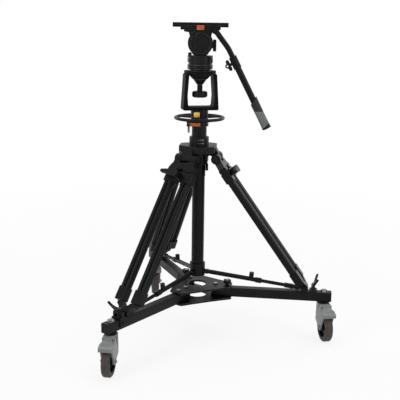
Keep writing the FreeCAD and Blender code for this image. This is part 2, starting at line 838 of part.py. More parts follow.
def leg_upper():
    reach = leg_top_half + overrun
    ears = []
    for way in (-1, 1):
        inner = Y * (way * (spider_lug_half + seat_gap))
        ears.append(rod(ear_radius, inner, Y * (way * leg_top_half)))
    half = leg_block_depth / 2
    gate = spider_lug_half + seat_gap
    plan = [V(0, leg_top_half, -half), V(0, gate, -half), V(leg_web_start, gate, -half),
            V(leg_web_start, -gate, -half), V(0, -gate, -half), V(0, -leg_top_half, -half),
            V(leg_web_start, -leg_top_half, -half), V(leg_block_end - clamp_depth / 2, -leg_half, -half),
            V(leg_block_end, -leg_half, -half), V(leg_block_end, -spider_lug_half, -half),
            V(leg_block_end - crotch_depth, 0, -half),
            V(leg_block_end, spider_lug_half, -half), V(leg_block_end, leg_half, -half),
            V(leg_block_end - clamp_depth / 2, leg_half, -half), V(leg_web_start, leg_top_half, -half)]
    block = sheet(plan, Z * leg_block_depth)
    deep = half + leg_band_proud
    band = box(V(leg_block_end - leg_band, -leg_half, -deep), V(leg_block_end, leg_half, deep))
    band = rounded(band, casting_edge, Y)
    arch = V(leg_block_end, 0, 0)
    band = band.cut(rod(spider_lug_half, arch - Z * 2 * deep, arch + Z * 2 * deep))
    block = block.fuse(band)
    barrel = rod(spider_lug_radius + 2 * seat_gap, Y * -gate, Y * gate)
    body = join([block.cut(barrel)] + ears)
    body = body.cut(rod(hinge_pin_radius + running_fit, Y * -reach, Y * reach))
    tubes = []
    guides = []
    end = leg_length - foot_start
    start = end - guide_length
    for way in (-1, 1):
        tube = oval_bar(leg_block_end, end, way * outer_beam, beam_width, beam_depth)
        tubes.append(oval_tube(leg_block_end, end, way * outer_beam))
        low = min(way * (inner_beam - beam_width / 2 - clamp_lip), way * leg_half)
        high = max(way * (inner_beam - beam_width / 2 - clamp_lip), way * leg_half)
        guide = box(V(start, low, -guide_depth / 2), V(end, high, guide_depth / 2))
        guide = rounded(guide, guide_corner, X)
        guide = guide.cut(oval_bar(start - overrun, end + overrun, way * inner_beam,
                                   beam_width + 2 * tube_play, beam_depth + 2 * tube_play))
        guides.append(guide.cut(tube))
    return [body] + tubes + guides


def leg_lower():
    tubes = []
    for way in (-1, 1):
        tubes.append(oval_tube(clamp_start, leg_length - foot_start + foot_start_gap, way * inner_beam))
    half = clamp_depth / 2
    end = clamp_start + clamp_length
    clamp = box(V(clamp_start, -leg_half - clamp_lip, -half), V(end, leg_half + clamp_lip, half))
    clamp = rounded(clamp, guide_corner, X)
    gate = inner_beam - beam_width / 2 - clamp_lip
    slot = rod(gate, V(end, 0, -half - overrun), V(end, 0, half + overrun))
    clamp = clamp.cut(slot)
    for way in (-1, 1):
        collar = oval_bar(end - clamp_lip, end + clamp_collar, way * inner_beam,
                          beam_width + 2 * clamp_collar_wall, beam_depth + 2 * clamp_collar_wall)
        clamp = clamp.fuse(collar)
    end += clamp_collar
    for way in (-1, 1):
        clamp = clamp.cut(oval_bar(clamp_start - overrun, end + overrun, way * outer_beam,
                                   beam_width + 2 * tube_play, beam_depth + 2 * tube_play))
        clamp = clamp.cut(oval_bar(clamp_start - overrun, end + overrun, way * inner_beam,
                                   beam_width, beam_depth))
    place = V(clamp_start + clamp_length * leg_lever_place_share + knob_boss_radius / 2, 0, half)
    clamp = clamp.fuse(rod(knob_boss_radius, place - Z * knob_boss, place + Z * knob_boss))
    through = Z * (knob_boss + overrun)
    clamp = clamp.cut(rod(leg_stud_radius + running_fit, place - through, place + through))
    top = leg_length - foot_start + foot_start_gap
    depth = foot_depth / 2
    waist_at = top + foot_taper + (leg_length - top - foot_taper) / 2
    waist = (foot_half + toe_half) / 2 - foot_waist
    edges = [
        Part.makeLine(V(top, crotch_half, -depth), V(top, foot_half, -depth)),
        Part.makeLine(V(top, foot_half, -depth), V(top + foot_taper, foot_half, -depth)),
        Part.Arc(V(top + foot_taper, foot_half, -depth), V(waist_at, waist, -depth),
                 V(leg_length, toe_half, -depth)).toShape(),
        Part.makeLine(V(leg_length, toe_half, -depth), V(leg_length, -toe_half, -depth)),
        Part.Arc(V(leg_length, -toe_half, -depth), V(waist_at, -waist, -depth),
                 V(top + foot_taper, -foot_half, -depth)).toShape(),
        Part.makeLine(V(top + foot_taper, -foot_half, -depth), V(top, -foot_half, -depth)),
        Part.makeLine(V(top, -foot_half, -depth), V(top, -crotch_half, -depth)),
        Part.Arc(V(top, -crotch_half, -depth), V(top + crotch_depth, 0, -depth),
                 V(top, crotch_half, -depth)).toShape(),
    ]
    foot = Part.Face(Part.Wire(edges)).extrude(Z * foot_depth)
    toe = rod(toe_radius, V(leg_length, -toe_half, 0), V(leg_length, toe_half, 0))
    heel = foot_heel()
    foot = join([foot, toe] + heel)
    return [clamp, foot] + tubes


def end_in_leg():
    """Outer pivot of the spreader, seen in the leg's own axes."""
    place = V(spreader_end_reach - hinge_reach, 0, spreader_end_rise - hinge_rise)
    turn = math.radians(leg_slope)
    return V(place.x * math.cos(turn) - place.z * math.sin(turn), 0,
             place.x * math.sin(turn) + place.z * math.cos(turn))


def foot_heel():
    """Two cheeks that reach from the foot to the end of the spreader."""
    pivot = end_in_leg()
    cheeks = []
    for way in (-1, 1):
        inner = way * (tongue_half + seat_gap)
        outer = way * (tongue_half + seat_gap + lug_wall)
        eye = rod(heel_radius, pivot + Y * inner, pivot + Y * outer)
        web = box(V(pivot.x - heel_radius, min(inner, outer), pivot.z),
                  V(pivot.x + heel_radius, max(inner, outer), -foot_depth / 2 + clamp_lip))
        cheeks.append(eye.fuse(web))
    return cheeks


def leg_lock_knob():
    place = V(clamp_start + clamp_length * leg_lever_place_share + knob_boss_radius / 2, 0,
              clamp_depth / 2)
    foot = place + Z * (knob_boss + seat_gap)
    stud = rod(leg_stud_radius, place - Z * (knob_boss - seat_gap), foot)
    body = rod(leg_knob_radius, foot, foot + Z * leg_knob_height)
    rise = foot.z + leg_knob_height - leg_lever_thickness
    root = leg_knob_radius
    tip = leg_lever_width / 2
    plan = [V(foot.x - root, 0, rise), V(foot.x - tip, -leg_lever_reach + tip, rise),
            V(foot.x + tip, -leg_lever_reach + tip, rise), V(foot.x + root, 0, rise)]
    wing = sheet(plan, Z * leg_lever_thickness)
    end = V(foot.x, -leg_lever_reach + tip, rise)
    wing_end = rod(tip, end, end + Z * leg_lever_thickness)
    return [join([body, stud, wing, wing_end])]


# Spider at the top of the tripod, with its lugs, hinge pins and split collar

def spider():
    corners = []
    for turn in arm_turns:
        for way in (-1, 1):
            corner = Part.Vertex(V(spider_reach, way * spider_half, spider_rise - spider_fascia))
            corners.append(turned(corner, turn).Point)
    crown = rounded(sheet(corners, Z * spider_fascia), spider_edge, Z)
    crown = crown.makeFillet(casting_edge, [edge for edge in crown.Edges
                                            if edge.BoundBox.ZMin > spider_rise - casting_edge])
    barrel = rod(spider_barrel, V(0, 0, spider_bottom), V(0, 0, spider_rise - spider_edge))
    shapes = [crown, barrel]
    pins = []
    low = hinge_rise - spider_lug_radius
    for turn in arm_turns:
        lug = rod(spider_lug_radius, V(hinge_reach, -spider_lug_half, hinge_rise),
                  V(hinge_reach, spider_lug_half, hinge_rise))
        web = sheet([V(spider_barrel / 2, -spider_lug_half, low), V(hinge_reach, -spider_lug_half, low),
                     V(hinge_reach + spider_lug_radius, -spider_lug_half, hinge_rise),
                     V(spider_reach, -spider_lug_half, spider_rise - spider_edge),
                     V(spider_barrel / 2, -spider_lug_half, spider_rise - spider_edge)],
                    Y * (2 * spider_lug_half))
        shapes = shapes + [turned(lug, turn), turned(web, turn)]
        end = leg_top_half + seat_gap
        pin = rod(hinge_pin_radius, V(hinge_reach, -end, hinge_rise), V(hinge_reach, end, hinge_rise))
        heads = []
        for way in (-1, 1):
            seat = V(hinge_reach, way * end, hinge_rise)
            heads.append(rod(bolt_across / 2, seat, seat + Y * (way * pin_head)))
        pins.append(turned(join([pin] + heads), turn))
    body = join(shapes)
    for turn in arm_turns:
        side = Y * (spider_lug_half + overrun)
        crown_of_arch = V(spider_arch_reach, 0, hinge_rise)
        arch = rod(spider_arch_radius, crown_of_arch - side, crown_of_arch + side)
        open_foot = box(V(spider_arch_reach - spider_arch_radius, -side.y, spider_bottom - overrun),
                        V(spider_arch_reach + spider_arch_radius, side.y, hinge_rise))
        body = body.cut(turned(arch.fuse(open_foot), turn))
    body = body.cut(rod(sleeve_radius, V(0, 0, spider_bottom - overrun), V(0, 0, spider_rise + overrun)))
    for pin in pins:
        body = body.cut(pin)
    return [body] + pins + split_collar()


def split_collar():
    low = spider_rise - spider_edge
    high = low + spider_edge + split_height
    ring = rod(split_radius, V(0, 0, spider_rise), V(0, 0, high))
    lug = box(V(0, -split_radius - split_lug, spider_rise), V(split_lug + split_slot, 0, high))
    ring = ring.fuse(lug)
    ring = ring.cut(rod(sleeve_radius, V(0, 0, low), V(0, 0, high + overrun)))
    slot = box(V(split_lug / 2, -split_radius - split_lug - overrun, spider_rise - overrun),
               V(split_lug / 2 + split_slot, 0, high + overrun))
    ring = ring.cut(slot)
    screws = []
    for share in split_screw_shares:
        rise = spider_rise + split_height * share
        start = V(-split_screw_head, -split_radius - split_lug * split_screw_place_share, rise)
        end = V(split_lug + split_slot, start.y, rise)
        shank = rod(split_screw_radius, start, end)
        ring = ring.cut(shank)
        head = rod(split_screw_radius * split_screw_head_share, start - X * split_screw_head, start)
        screws.append(join([shank, head]))
    return [ring] + screws


# Column: fixed tube with its sleeves, top ring and spreader collar

def column_tube():
    body = lathe([(column_bore, column_bottom), (column_radius, column_bottom),
                  (column_radius, sleeve_bottom), (sleeve_radius, sleeve_bottom),
                  (sleeve_radius, spider_rise + split_height),
                  (neck_sleeve_radius, spider_rise + split_height),
                  (neck_sleeve_radius, column_top), (column_bore, column_top)], ORIGIN, Z)
    low = column_top - head_ring_height - column_lip
    high = column_top - column_lip
    ring = rod(head_ring_radius, V(0, 0, low), V(0, 0, high))
    half = head_lug_half
    ring = ring.fuse(box(V(-head_lug_reach, -half - brake_place, low), V(0, half - brake_place, high)))
    place = lock_pivot()
    front = box(V(place.x - lock_pivot_radius, place.y, low), V(place.x + lock_pivot_radius, 0, high))
    front = front.fuse(rod(lock_pivot_radius, V(place.x, place.y, low), V(place.x, place.y, high)))
    room = box(V(place.x - 2 * lock_lever_length, place.y - lock_lever_length, low + lock_fork),
               V(place.x + 2 * lock_pivot_radius, place.y + lock_pivot_radius + 2 * seat_gap,
                 high - lock_fork))
    ring = join([ring, front.cut(room)])
    ring = ring.cut(rod(neck_sleeve_radius, V(0, 0, low - overrun), V(0, 0, high + overrun)))
    ring = ring.cut(rod(lock_pin_radius, V(place.x, place.y, low), V(place.x, place.y, high)))
    pin = rod(lock_pin_radius, V(place.x, place.y, low), V(place.x, place.y, high))
    hinge = brake_hinge()
    blade_pin = rod(lock_pin_radius, hinge - Y * (brake_blade_thickness + 2 * seat_gap), hinge + Y * half)
    ring = ring.cut(blade_pin)
    collar = rod(collar_radius, V(0, 0, column_bottom), V(0, 0, column_bottom + collar_height))
    collar = collar.cut(rod(column_radius, V(0, 0, column_bottom - overrun),
                            V(0, 0, column_bottom + collar_height + overrun)))
    cheeks = []
    pins = []
    for turn in arm_turns:
        pivot = V(spreader_pivot_reach, 0, spreader_pivot_rise)
        for way in (-1, 1):
            inner = way * (spreader_eye_half + seat_gap)
            outer = way * (spreader_eye_half + seat_gap + lug_wall)
            eye = rod(spreader_cheek_radius, pivot + Y * inner, pivot + Y * outer)
            web = box(V(column_radius + overrun, min(inner, outer), pivot.z - spreader_pin - lug_wall / 2),
                      V(pivot.x, max(inner, outer), pivot.z + spreader_pin + lug_wall / 2))
            cheeks.append(turned(eye.fuse(web), turn))
        side = Y * (spreader_eye_half + seat_gap + lug_wall)
        pins.append(turned(rod(spreader_pin, pivot - side, pivot + side), turn))
    collar = join([collar] + cheeks)
    for pin_cut in pins:
        collar = collar.cut(pin_cut)
    return [body, ring, pin, blade_pin, collar] + pins


def lock_pivot():
    """Foot of the height lock's upright pin."""
    return V(lock_pivot_place, -head_ring_radius - lock_pivot_radius, column_top - column_lip)


def brake_hinge():
    """Centre of the small blade's pin, on the front face of its lug."""
    return V(-head_lug_reach + head_lug_half, -head_lug_half - brake_place,
             column_top - column_lip - head_ring_height / 2)


def height_lock_lever():
    place = lock_pivot()
    low = place.z - head_ring_height + lock_fork + seat_gap
    high = place.z - lock_fork - seat_gap
    hub = rod(lock_pivot_radius, V(place.x, place.y, low), V(place.x, place.y, high))
    half = lock_lever_thickness / 2
    end = place.x - lock_lever_length + half
    blade = box(V(end, place.y - half, low), V(place.x, place.y + half, high))
    tip = rod(half, V(end, place.y, low), V(end, place.y, high))
    bore = rod(lock_pin_radius + running_fit, V(place.x, place.y, low - overrun),
               V(place.x, place.y, high + overrun))
    return [join([hub, blade, tip]).cut(bore)]


def brake_blade():
    hinge = brake_hinge()
    near = hinge - Y * seat_gap
    far = near - Y * brake_blade_thickness
    half = brake_blade_width / 2
    eye = rod(half, far, near)
    blade = box(V(hinge.x - half, far.y, hinge.z - brake_blade_length), V(hinge.x + half, near.y, hinge.z))
    foot = V(hinge.x, 0, hinge.z - brake_blade_length)
    tip = rod(half, V(foot.x, far.y, foot.z), V(foot.x, near.y, foot.z))
    bore = rod(lock_pin_radius + running_fit, far - Y * overrun, near + Y * overrun)
    return [join([eye, blade, tip]).cut(bore)]


def column_clamp_knob():
    start = V(sleeve_radius + seat_gap, 0, small_knob_rise)
    end = start + X * small_knob_length
    return [fluted(rod(small_knob_radius, start, end), small_knob_flutes, small_knob_flute,
                   small_knob_radius, start, end)]


# Ground spreader. Each is drawn along +X from its column pivot at the origin.

def lay_spreader(shape, turn):
    copy = shape.copy()
    copy.rotate(ORIGIN, Y, spreader_slope)
    copy.translate(V(spreader_pivot_reach, 0, spreader_pivot_rise))
    copy.rotate(ORIGIN, Z, turn)
    return copy


def spreader_outer():
    half = spreader_eye_half
    eye = rod(spreader_eye, Y * -half, Y * half)
    root = spreader_cheek_radius + 2 * seat_gap
    tongue = box(V(0, -half, -spreader_tongue), V(root + half, half, spreader_tongue))
    tube = rod(spreader_tube, X * root, X * spreader_tube_length)
    sleeve_start = spreader_tube_length - 2 * spreader_boss
    sleeve = rod(spreader_tube + clamp_lip, X * sleeve_start, X * (spreader_tube_length + clamp_lip))
    place = X * spreader_knob_place
    boss = rod(spreader_knob_radius, place, place + Z * spreader_boss)
    body = join([eye, tongue, tube, sleeve, boss])
    start = X * (spreader_tube_length - spreader_overlap - spreader_boss)
    body = body.cut(rod(spreader_rod + running_fit, start, X * (spreader_tube_length + spreader_boss)))
    reach = half + overrun
    body = body.cut(rod(spreader_pin + running_fit, Y * -reach, Y * reach))
    stud = rod(leg_stud_radius + running_fit, place + Z * spreader_tube,
               place + Z * (spreader_boss + overrun))
    return [body.cut(stud)]


def spreader_inner():
    start = X * (spreader_tube_length - spreader_overlap)
    end = spreader_length - end_block_gap
    bar = rod(spreader_rod, start, X * (end - end_block_length / 2))
    half = end_block_half
    block = box(V(end - end_block_length, -half, -half), V(end, half, half))
    block = rounded(block, end_block_corner, X)
    tongue = box(V(end - half, -tongue_half, -tongue_radius), V(spreader_length, tongue_half, tongue_radius))
    nose = rod(tongue_radius, V(spreader_length, -tongue_half, 0), V(spreader_length, tongue_half, 0))
    return [join([bar, block, tongue, nose])]


def spreader_knob():
    place = X * spreader_knob_place
    foot = place + Z * (spreader_boss + seat_gap)
    stud = rod(leg_stud_radius, place + Z * (spreader_tube + seat_gap), foot)
    head = rod(spreader_knob_radius, foot, foot + Z * spreader_knob_height)
    return [join([stud, head])]


def save_tripod():
    save("spider", spider())
    save("column_tube", column_tube())
    save("height_lock_lever", height_lock_lever())
    save("brake_blade", brake_blade())
    save("column_clamp_knob", column_clamp_knob())
    for name, turn in zip(arm_names, arm_turns):
        save(name + "_leg_upper", [lay_leg(shape, turn) for shape in leg_upper()])
        save(name + "_leg_lower", [lay_leg(shape, turn) for shape in leg_lower()])
        save(name + "_leg_lock_knob", [lay_leg(shape, turn) for shape in leg_lock_knob()])
        save(name + "_spreader_outer", [lay_spreader(shape, turn) for shape in spreader_outer()])
        save(name + "_spreader_inner", [lay_spreader(shape, turn) for shape in spreader_inner()])
        save(name + "_spreader_knob", [lay_spreader(shape, turn) for shape in spreader_knob()])


# Lifting ram with the steering ring

def ram():
    inner = ram_radius - ram_wall
    body = lathe([(inner, ram_bottom), (ram_radius, ram_bottom), (ram_radius, column_top + column_lip),
                  (ram_head_radius - ring_hub_wall, column_top + column_lip),
                  (ram_head_radius - ring_hub_wall, ring_rise + ring_hub_height / 2),
                  (ram_head_radius, ring_rise + ring_hub_height / 2),
                  (ram_head_radius, ram_head_top), (0, ram_head_top), (0, column_top + column_lip),
                  (inner, column_top + column_lip)], ORIGIN, Z)
    place = V(release_place, -ram_head_radius * release_pocket_share, release_rise)
    pocket = rod(release_pin + running_fit, place + Y * release_length, place - Y * release_length)
    return [body.cut(pocket)]


def steering_ring():
    tube = Part.makeTorus(ring_radius, ring_tube, V(0, 0, ring_rise), Z)
    low = V(0, 0, ring_rise - ring_hub_height / 2 + seat_gap)
    high = V(0, 0, ring_rise + ring_hub_height / 2 - seat_gap)
    hub = rod(ram_head_radius, low, high)
    shapes = [hub, tube]
    for spoke in range(spoke_count):
        turn = -90 + 360 / spoke_count * spoke
        bar = rod(spoke_radius, V(ram_head_radius / 2, 0, ring_rise), V(ring_radius, 0, ring_rise))
        shapes.append(turned(bar, turn))
    body = join(shapes)
    return [body.cut(rod(ram_head_radius - ring_hub_wall, low - Z * overrun, high + Z * overrun))]


def ring_release():
    face = V(release_place, -ram_head_radius - seat_gap, release_rise)
    start = face - V(release_half, release_length, release_height / 2)
    head = box(start, start + V(2 * release_half, release_length, release_height))
    head = rounded(head, release_corner, Y)
    front = [edge for edge in head.Edges if edge.BoundBox.YMax < start.y + seat_gap]
    head = head.makeFillet(release_corner / 2, front)
    pin = rod(release_pin, face + Y * release_length, face)
    return [join([head, pin])]


# Yoke that carries the bowl

def yoke():
    half = yoke_depth / 2
    low = ram_head_top
    top = bowl_rise - bowl_flange
    outer = [V(-yoke_bottom_half, -half, low), V(yoke_bottom_half, -half, low),
             V(yoke_top_half, -half, top), V(-yoke_top_half, -half, top)]
    window = [V(-yoke_window_foot, -half, low + yoke_bar), V(yoke_window_foot, -half, low + yoke_bar),
              V(yoke_window_waist, -half, yoke_waist_rise), V(yoke_window_top, -half, top),
              V(-yoke_window_top, -half, top), V(-yoke_window_waist, -half, yoke_waist_rise)]
    frame = rounded(sheet(outer, Y * yoke_depth), yoke_shoulder, Y)
    frame = frame.cut(rounded(sheet(window, Y * yoke_depth), yoke_corner, Y))
    flange = rod(bowl_flange_radius, V(0, 0, top), V(0, 0, bowl_rise))
    body = join([frame, flange])
    body = body.cut(Part.makeSphere(ball_radius + seat_gap, V(0, 0, bowl_rise)))
    return [turned(body, yoke_turn)]


# Fluid head

def half_ball():
    seat = Part.makeSphere(ball_radius, V(0, 0, bowl_rise))
    seat_low = bowl_rise - seat_depth
    seat = seat.common(rod(2 * ball_radius, V(0, 0, seat_low), V(0, 0, bowl_rise)))
    seat_radius = math.sqrt(ball_radius ** 2 - seat_depth ** 2)
    cone = lathe([(0, seat_low), (seat_radius, seat_low), (cone_step_radius, cone_step_rise),
                  (cone_step_radius - cone_step, cone_step_rise), (stem_radius + cone_step, cone_bottom),
                  (0, cone_bottom)], ORIGIN, Z)
    neck = rod(ball_neck_radius, V(0, 0, bowl_rise), V(0, 0, base_bottom))
    base = rod(base_radius, V(0, 0, base_bottom), V(0, 0, base_split))
    stem_low = stem_bottom + tie_knob_height / 2
    stem = rod(stem_radius, V(0, 0, stem_low), V(0, 0, bowl_rise - ball_radius / 2))
    return [join([seat, cone, neck, base, stem])]


def tie_down_knob():
    low = V(0, 0, stem_bottom)
    high = V(0, 0, stem_bottom + tie_knob_height)
    body = rod(tie_knob_radius, low, high)
    rims = [edge for edge in body.Edges if edge.Length > 2 * tie_knob_radius]
    body = body.makeFillet(tie_knob_edge, rims)
    reach = tie_knob_radius + tie_knob_notch * tie_knob_notch_share
    body = fluted(body, tie_knob_lobes, tie_knob_notch, reach,
                  low, high)
    bore = V(0, 0, stem_bottom + tie_knob_height / 2 - seat_gap)
    return [body.cut(rod(stem_radius + running_fit, bore, high + Z * overrun))]


def pan_body():
    height = tilt_rise - drum_radius - seat_gap - base_split - seat_gap
    low = base_split + seat_gap
    step = [low + height * share for share in base_steps_share]
    inner = base_radius - base_groove
    rings = lathe([(0, step[0]), (inner, step[0]), (inner, step[1] - seat_gap), (base_radius, step[1]),
                   (base_radius, step[3]), (inner, step[3]), (inner, step[4]), (base_radius, step[4]),
                   (base_radius, step[5]), (0, step[5])], ORIGIN, Z)
    foot = box(V(-core_foot_half, -core_half, step[4]), V(core_foot_half, core_half, tilt_rise))
    core = rod(core_radius, V(0, -core_half, tilt_rise), V(0, core_half, tilt_rise))
    inside = rod(drum_radius + base_groove, V(0, -core_half, tilt_rise), V(0, core_half, tilt_rise))
    foot = foot.common(inside)
    shaft = rod(tilt_axle_radius, V(0, -drum_half, tilt_rise), V(0, drum_half, tilt_rise))
    dial = rod(dial_radius, V(0, -drum_half - dial_proud, tilt_rise), V(0, -drum_half - seat_gap, tilt_rise))
    dial = dial.fuse(rod(tilt_axle_radius, V(0, -drum_half - seat_gap, tilt_rise),
                         V(0, -drum_half, tilt_rise)))
    drag_boss = rod(2 * drag_shaft, V(0, 0, drag_rise), V(drum_radius + seat_gap, 0, drag_rise))
    level_foot = V(level_place[0], level_place[1], step[4])
    level = rod(level_radius, level_foot, level_foot + Z * (step[5] - step[4] + level_height))
    middle = base_split + seat_gap + height / 2
    block = box(V(0, -side_block_half, middle - side_block_height / 2),
                V(side_block_reach, side_block_half, middle + side_block_height / 2))
    block = rounded(block, side_block_half / 2, X)
    block = turned(block, side_block_turn)
    return [join([rings, foot, core, shaft, dial, drag_boss, level, block])]


def drag_knob():
    start = V(drum_radius + 2 * seat_gap, 0, drag_rise)
    end = start + X * drag_thickness
    return [fluted(rod(drag_radius, start, end), drag_flutes, drag_flute, drag_radius, start, end)]


def tilt_body():
    drum = rod(drum_radius, V(0, -drum_half, tilt_rise), V(0, drum_half, tilt_rise))
    low = tilt_rise + neck_low
    shoulder = tilt_rise + neck_shoulder
    step = tilt_rise + neck_step
    neck = sheet([V(-neck_half, -drum_half, low), V(neck_half, -drum_half, low),
                  V(neck_shoulder_half, -drum_half, shoulder), V(neck_step_half, -drum_half, step),
                  V(neck_step_half, -drum_half, platform_bottom),
                  V(-neck_step_half, -drum_half, platform_bottom), V(-neck_step_half, -drum_half, step),
                  V(-neck_shoulder_half, -drum_half, shoulder)], Y * (2 * drum_half))
    body = join([drum, neck])
    gap = core_half + seat_gap
    room = rod(drum_radius - seat_gap, V(0, -gap, tilt_rise), V(0, gap, tilt_rise))
    under = box(V(-drum_radius - overrun, -gap, tilt_rise - drum_radius - overrun),
                V(drum_radius + overrun, gap, low))
    body = body.cut(room).cut(under)
    bore = rod(tilt_axle_radius + running_fit, V(0, -drum_half - overrun, tilt_rise),
               V(0, drum_half + overrun, tilt_rise))
    body = body.cut(bore)
    for way in (-1, 1):
        face = V(0, way * drum_half, tilt_rise)
        floor = face - Y * (way * dial_groove_depth)
        groove = rod(dial_groove_outer, floor, face + Y * (way * overrun))
        body = body.cut(groove.cut(rod(dial_groove_inner, floor, face + Y * (way * overrun))))
    boss = V(boss_place[0], -drum_half, tilt_rise + boss_place[1])
    body = body.fuse(rod(boss_radius, boss + Y * overrun, boss - Y * boss_proud))
    return [body.removeSplitter(), platform()]


def platform():
    half = platform_depth / 2
    body = box(V(-platform_half, -half, platform_bottom), V(platform_half, half, platform_top))
    body = rounded(body, platform_edge, Z)
    floor = platform_top - channel_depth
    top = dovetail_half + seat_gap
    wide = top + dovetail_slant
    past = platform_half + overrun
    channel = sheet([V(-past, -wide, floor), V(-past, wide, floor), V(-past, top, platform_top),
                     V(-past, top, platform_top + overrun), V(-past, -top, platform_top + overrun),
                     V(-past, -top, platform_top)], X * (2 * past))
    body = body.cut(channel)
    middle = platform_bottom + (platform_top - platform_bottom) / 2
    low = middle - button_stem_height / 2 - seat_gap
    pocket = box(V(-button_stem_half - seat_gap, -half - overrun, low),
                 V(button_stem_half + seat_gap, -half + button_stem, middle - seat_gap))
    return body.cut(pocket)


def release_button():
    half = platform_depth / 2
    middle = platform_bottom + (platform_top - platform_bottom) / 2
    back = -half - seat_gap - button_travel
    paddle = box(V(-button_half, back - button_depth, middle - button_height / 2),
                 V(button_half, back, middle + button_height / 2))
    paddle = rounded(paddle, button_depth / 2, Y)
    stem = box(V(-button_stem_half, back, middle - button_stem_height / 2),
               V(button_stem_half, -half + button_stem - button_travel - seat_gap, middle - 2 * seat_gap))
    return [join([paddle, stem])]


def camera_plate():
    half = plate_width / 2
    top = dovetail_half - seat_gap
    wide = top + dovetail_slant
    floor = platform_top - channel_depth + seat_gap
    deck = platform_top + seat_gap
    body = box(V(-plate_half, -half, deck), V(plate_half, half, plate_top))
    body = rounded(body, plate_edge, Z)
    end = -plate_half
    runner = sheet([V(end, -wide, floor), V(end, wide, floor), V(end, top, platform_top), V(end, top, deck),
                    V(end, -top, deck), V(end, -top, platform_top)], X * (2 * plate_half))
    body = join([body, runner])
    for way in (-1, 1):
        middle = V(way * screw_slot_place, 0, floor - overrun)
        straight = screw_slot_length / 2 - screw_slot_half
        slot = box(middle - V(straight, screw_slot_half, 0),
                   middle + V(straight, screw_slot_half, plate_top - floor + 2 * overrun))
        for end in (-1, 1):
            place = middle + X * (end * straight)
            slot = slot.fuse(rod(screw_slot_half, place, place + Z * (plate_top - floor + 2 * overrun)))
        body = body.cut(slot)
    return [body]


# Pan bar: bent tube from the rosette, telescopic end with the grip

def bar_frame():
    """Bend, direction down the straight bar, and square to it in its plane."""
    bend = V(bend_reach, handle_plane, bend_rise)
    along = (V(grip_end_reach, handle_plane, grip_end_rise) - bend).normalize()
    return bend, along, Y.cross(along)


def handle_tube():
    bend, along, side = bar_frame()
    rosette = V(rosette_reach, 0, rosette_rise)
    face = -platform_depth / 2 - seat_gap
    disc = rod(rosette_radius, V(rosette.x, face, rosette.z), V(rosette.x, face - rosette_width, rosette.z))
    start = V(rosette_reach, handle_plane, rosette_rise)
    heading = (bend - start).normalize()
    turn = math.degrees(heading.getAngle(along))
    room_for_bend = bend_turn_radius * math.tan(math.radians(turn / 2))
    bend_start = bend - heading * room_for_bend
    bend_end = bend + along * room_for_bend
    crook = (bend_start + bend_end) / 2
    middle = bend_start + Y.cross(heading) * bend_turn_radius
    crook = middle + (crook - middle).normalize() * bend_turn_radius
    head = rod(rosette_radius * rosette_neck_share, V(rosette.x, face - rosette_width, rosette.z),
               V(rosette.x, handle_plane - bar_radius - rosette_proud, rosette.z))
    end = bend + along * (bar_clamp_start + bar_engaged)
    path = Part.Wire([Part.makeLine(start, bend_start), Part.Arc(bend_start, crook, bend_end).toShape(),
                      Part.makeLine(bend_end, end)])
    section = Part.Wire(Part.makeCircle(bar_radius, start, heading))
    tube = path.makePipeShell([section], True, True)
    tube = tube.cut(rod(bar_inner, bend + along * bar_bore_start, end + along * overrun))
    return [join([disc, head, tube])]


def clamp_middle():
    bend, along, side = bar_frame()
    return bend + along * (bar_clamp_start + bar_clamp_length / 2)


def handle_extension():
    bend, along, side = bar_frame()
    full = (V(grip_end_reach, handle_plane, grip_end_rise) - bend).Length
    top = bend + along * bar_clamp_start
    first = bend + along * (full - grip_length)
    last = bend + along * full
    bore_end = top + along * (bar_engaged + seat_gap)
    tube_end = last - along * grip_cap
    collar = rod(bar_clamp_radius, top, top + along * bar_clamp_length)
    tube = join([rod(lower_radius, top, tube_end), collar])
    tube = tube.cut(rod(bar_radius + running_fit, top - along * overrun, bore_end))
    middle = clamp_middle()
    stud = rod(wing_stud + running_fit, middle + side * lower_radius, middle + side * 2 * bar_clamp_radius)
    tube = tube.cut(stud)
    wide = side * grip_radius
    waist = first + (last - first) / 2 + side * grip_waist
    edges = [
        Part.makeLine(first, first + wide),
        Part.Arc(first + wide, waist, last + wide).toShape(),
        Part.makeLine(last + wide, last),
        Part.makeLine(last, first),
    ]
    whole = Part.Face(Part.Wire(edges)).revolve(bend, along, 360)
    past = wide * (1 + overrun / grip_radius)
    depth = Y * (4 * grip_radius)
    corner = -depth / 2
    upper_cut = sheet([first + past - along * overrun + corner, first - past - along * overrun + corner,
                       first - past + corner, first + past + along * grip_slant + corner], depth)
    beyond = along * overrun + corner
    lower_cut = sheet([last + past - along * grip_cap_short + corner, last - past - along * grip_cap + corner,
                       last - past + beyond, last + past + beyond], depth)
    grip = whole.cut(upper_cut).cut(lower_cut).cut(rod(lower_radius, top, tube_end))
    return [tube, grip, whole.common(lower_cut).cut(rod(lower_radius, top, tube_end))]


def handle_wing_knob():
    """Knob with three lobes in one plane and an eye at the middle one."""
    bend, along, side = bar_frame()
    middle = clamp_middle()
    start = middle + side * (bar_clamp_radius + seat_gap)
    hub = start + side * wing_hub_place
    depth = Y * (wing_thickness / 2)
    stud = rod(wing_stud, middle + side * (lower_radius + seat_gap), start)
    shapes = [stud, rod(wing_neck, start, hub), rod(wing_hub, hub - depth, hub + depth)]
    outer = hub + side * wing_tip
    shapes.append(rod(wing_hub, outer - depth, outer + depth))
    for way in (-1, 1):
        tip = hub + along * (way * wing_half)
        shapes.append(rod(wing_tip, tip - depth, tip + depth))
        shapes.append(sheet([hub + side * wing_hub - depth, hub - side * wing_tip - depth,
                             tip - side * wing_tip - depth, tip + side * wing_tip - depth], depth * 2))
    return [join(shapes).cut(rod(wing_eye, outer - depth * 2, outer + depth * 2))]


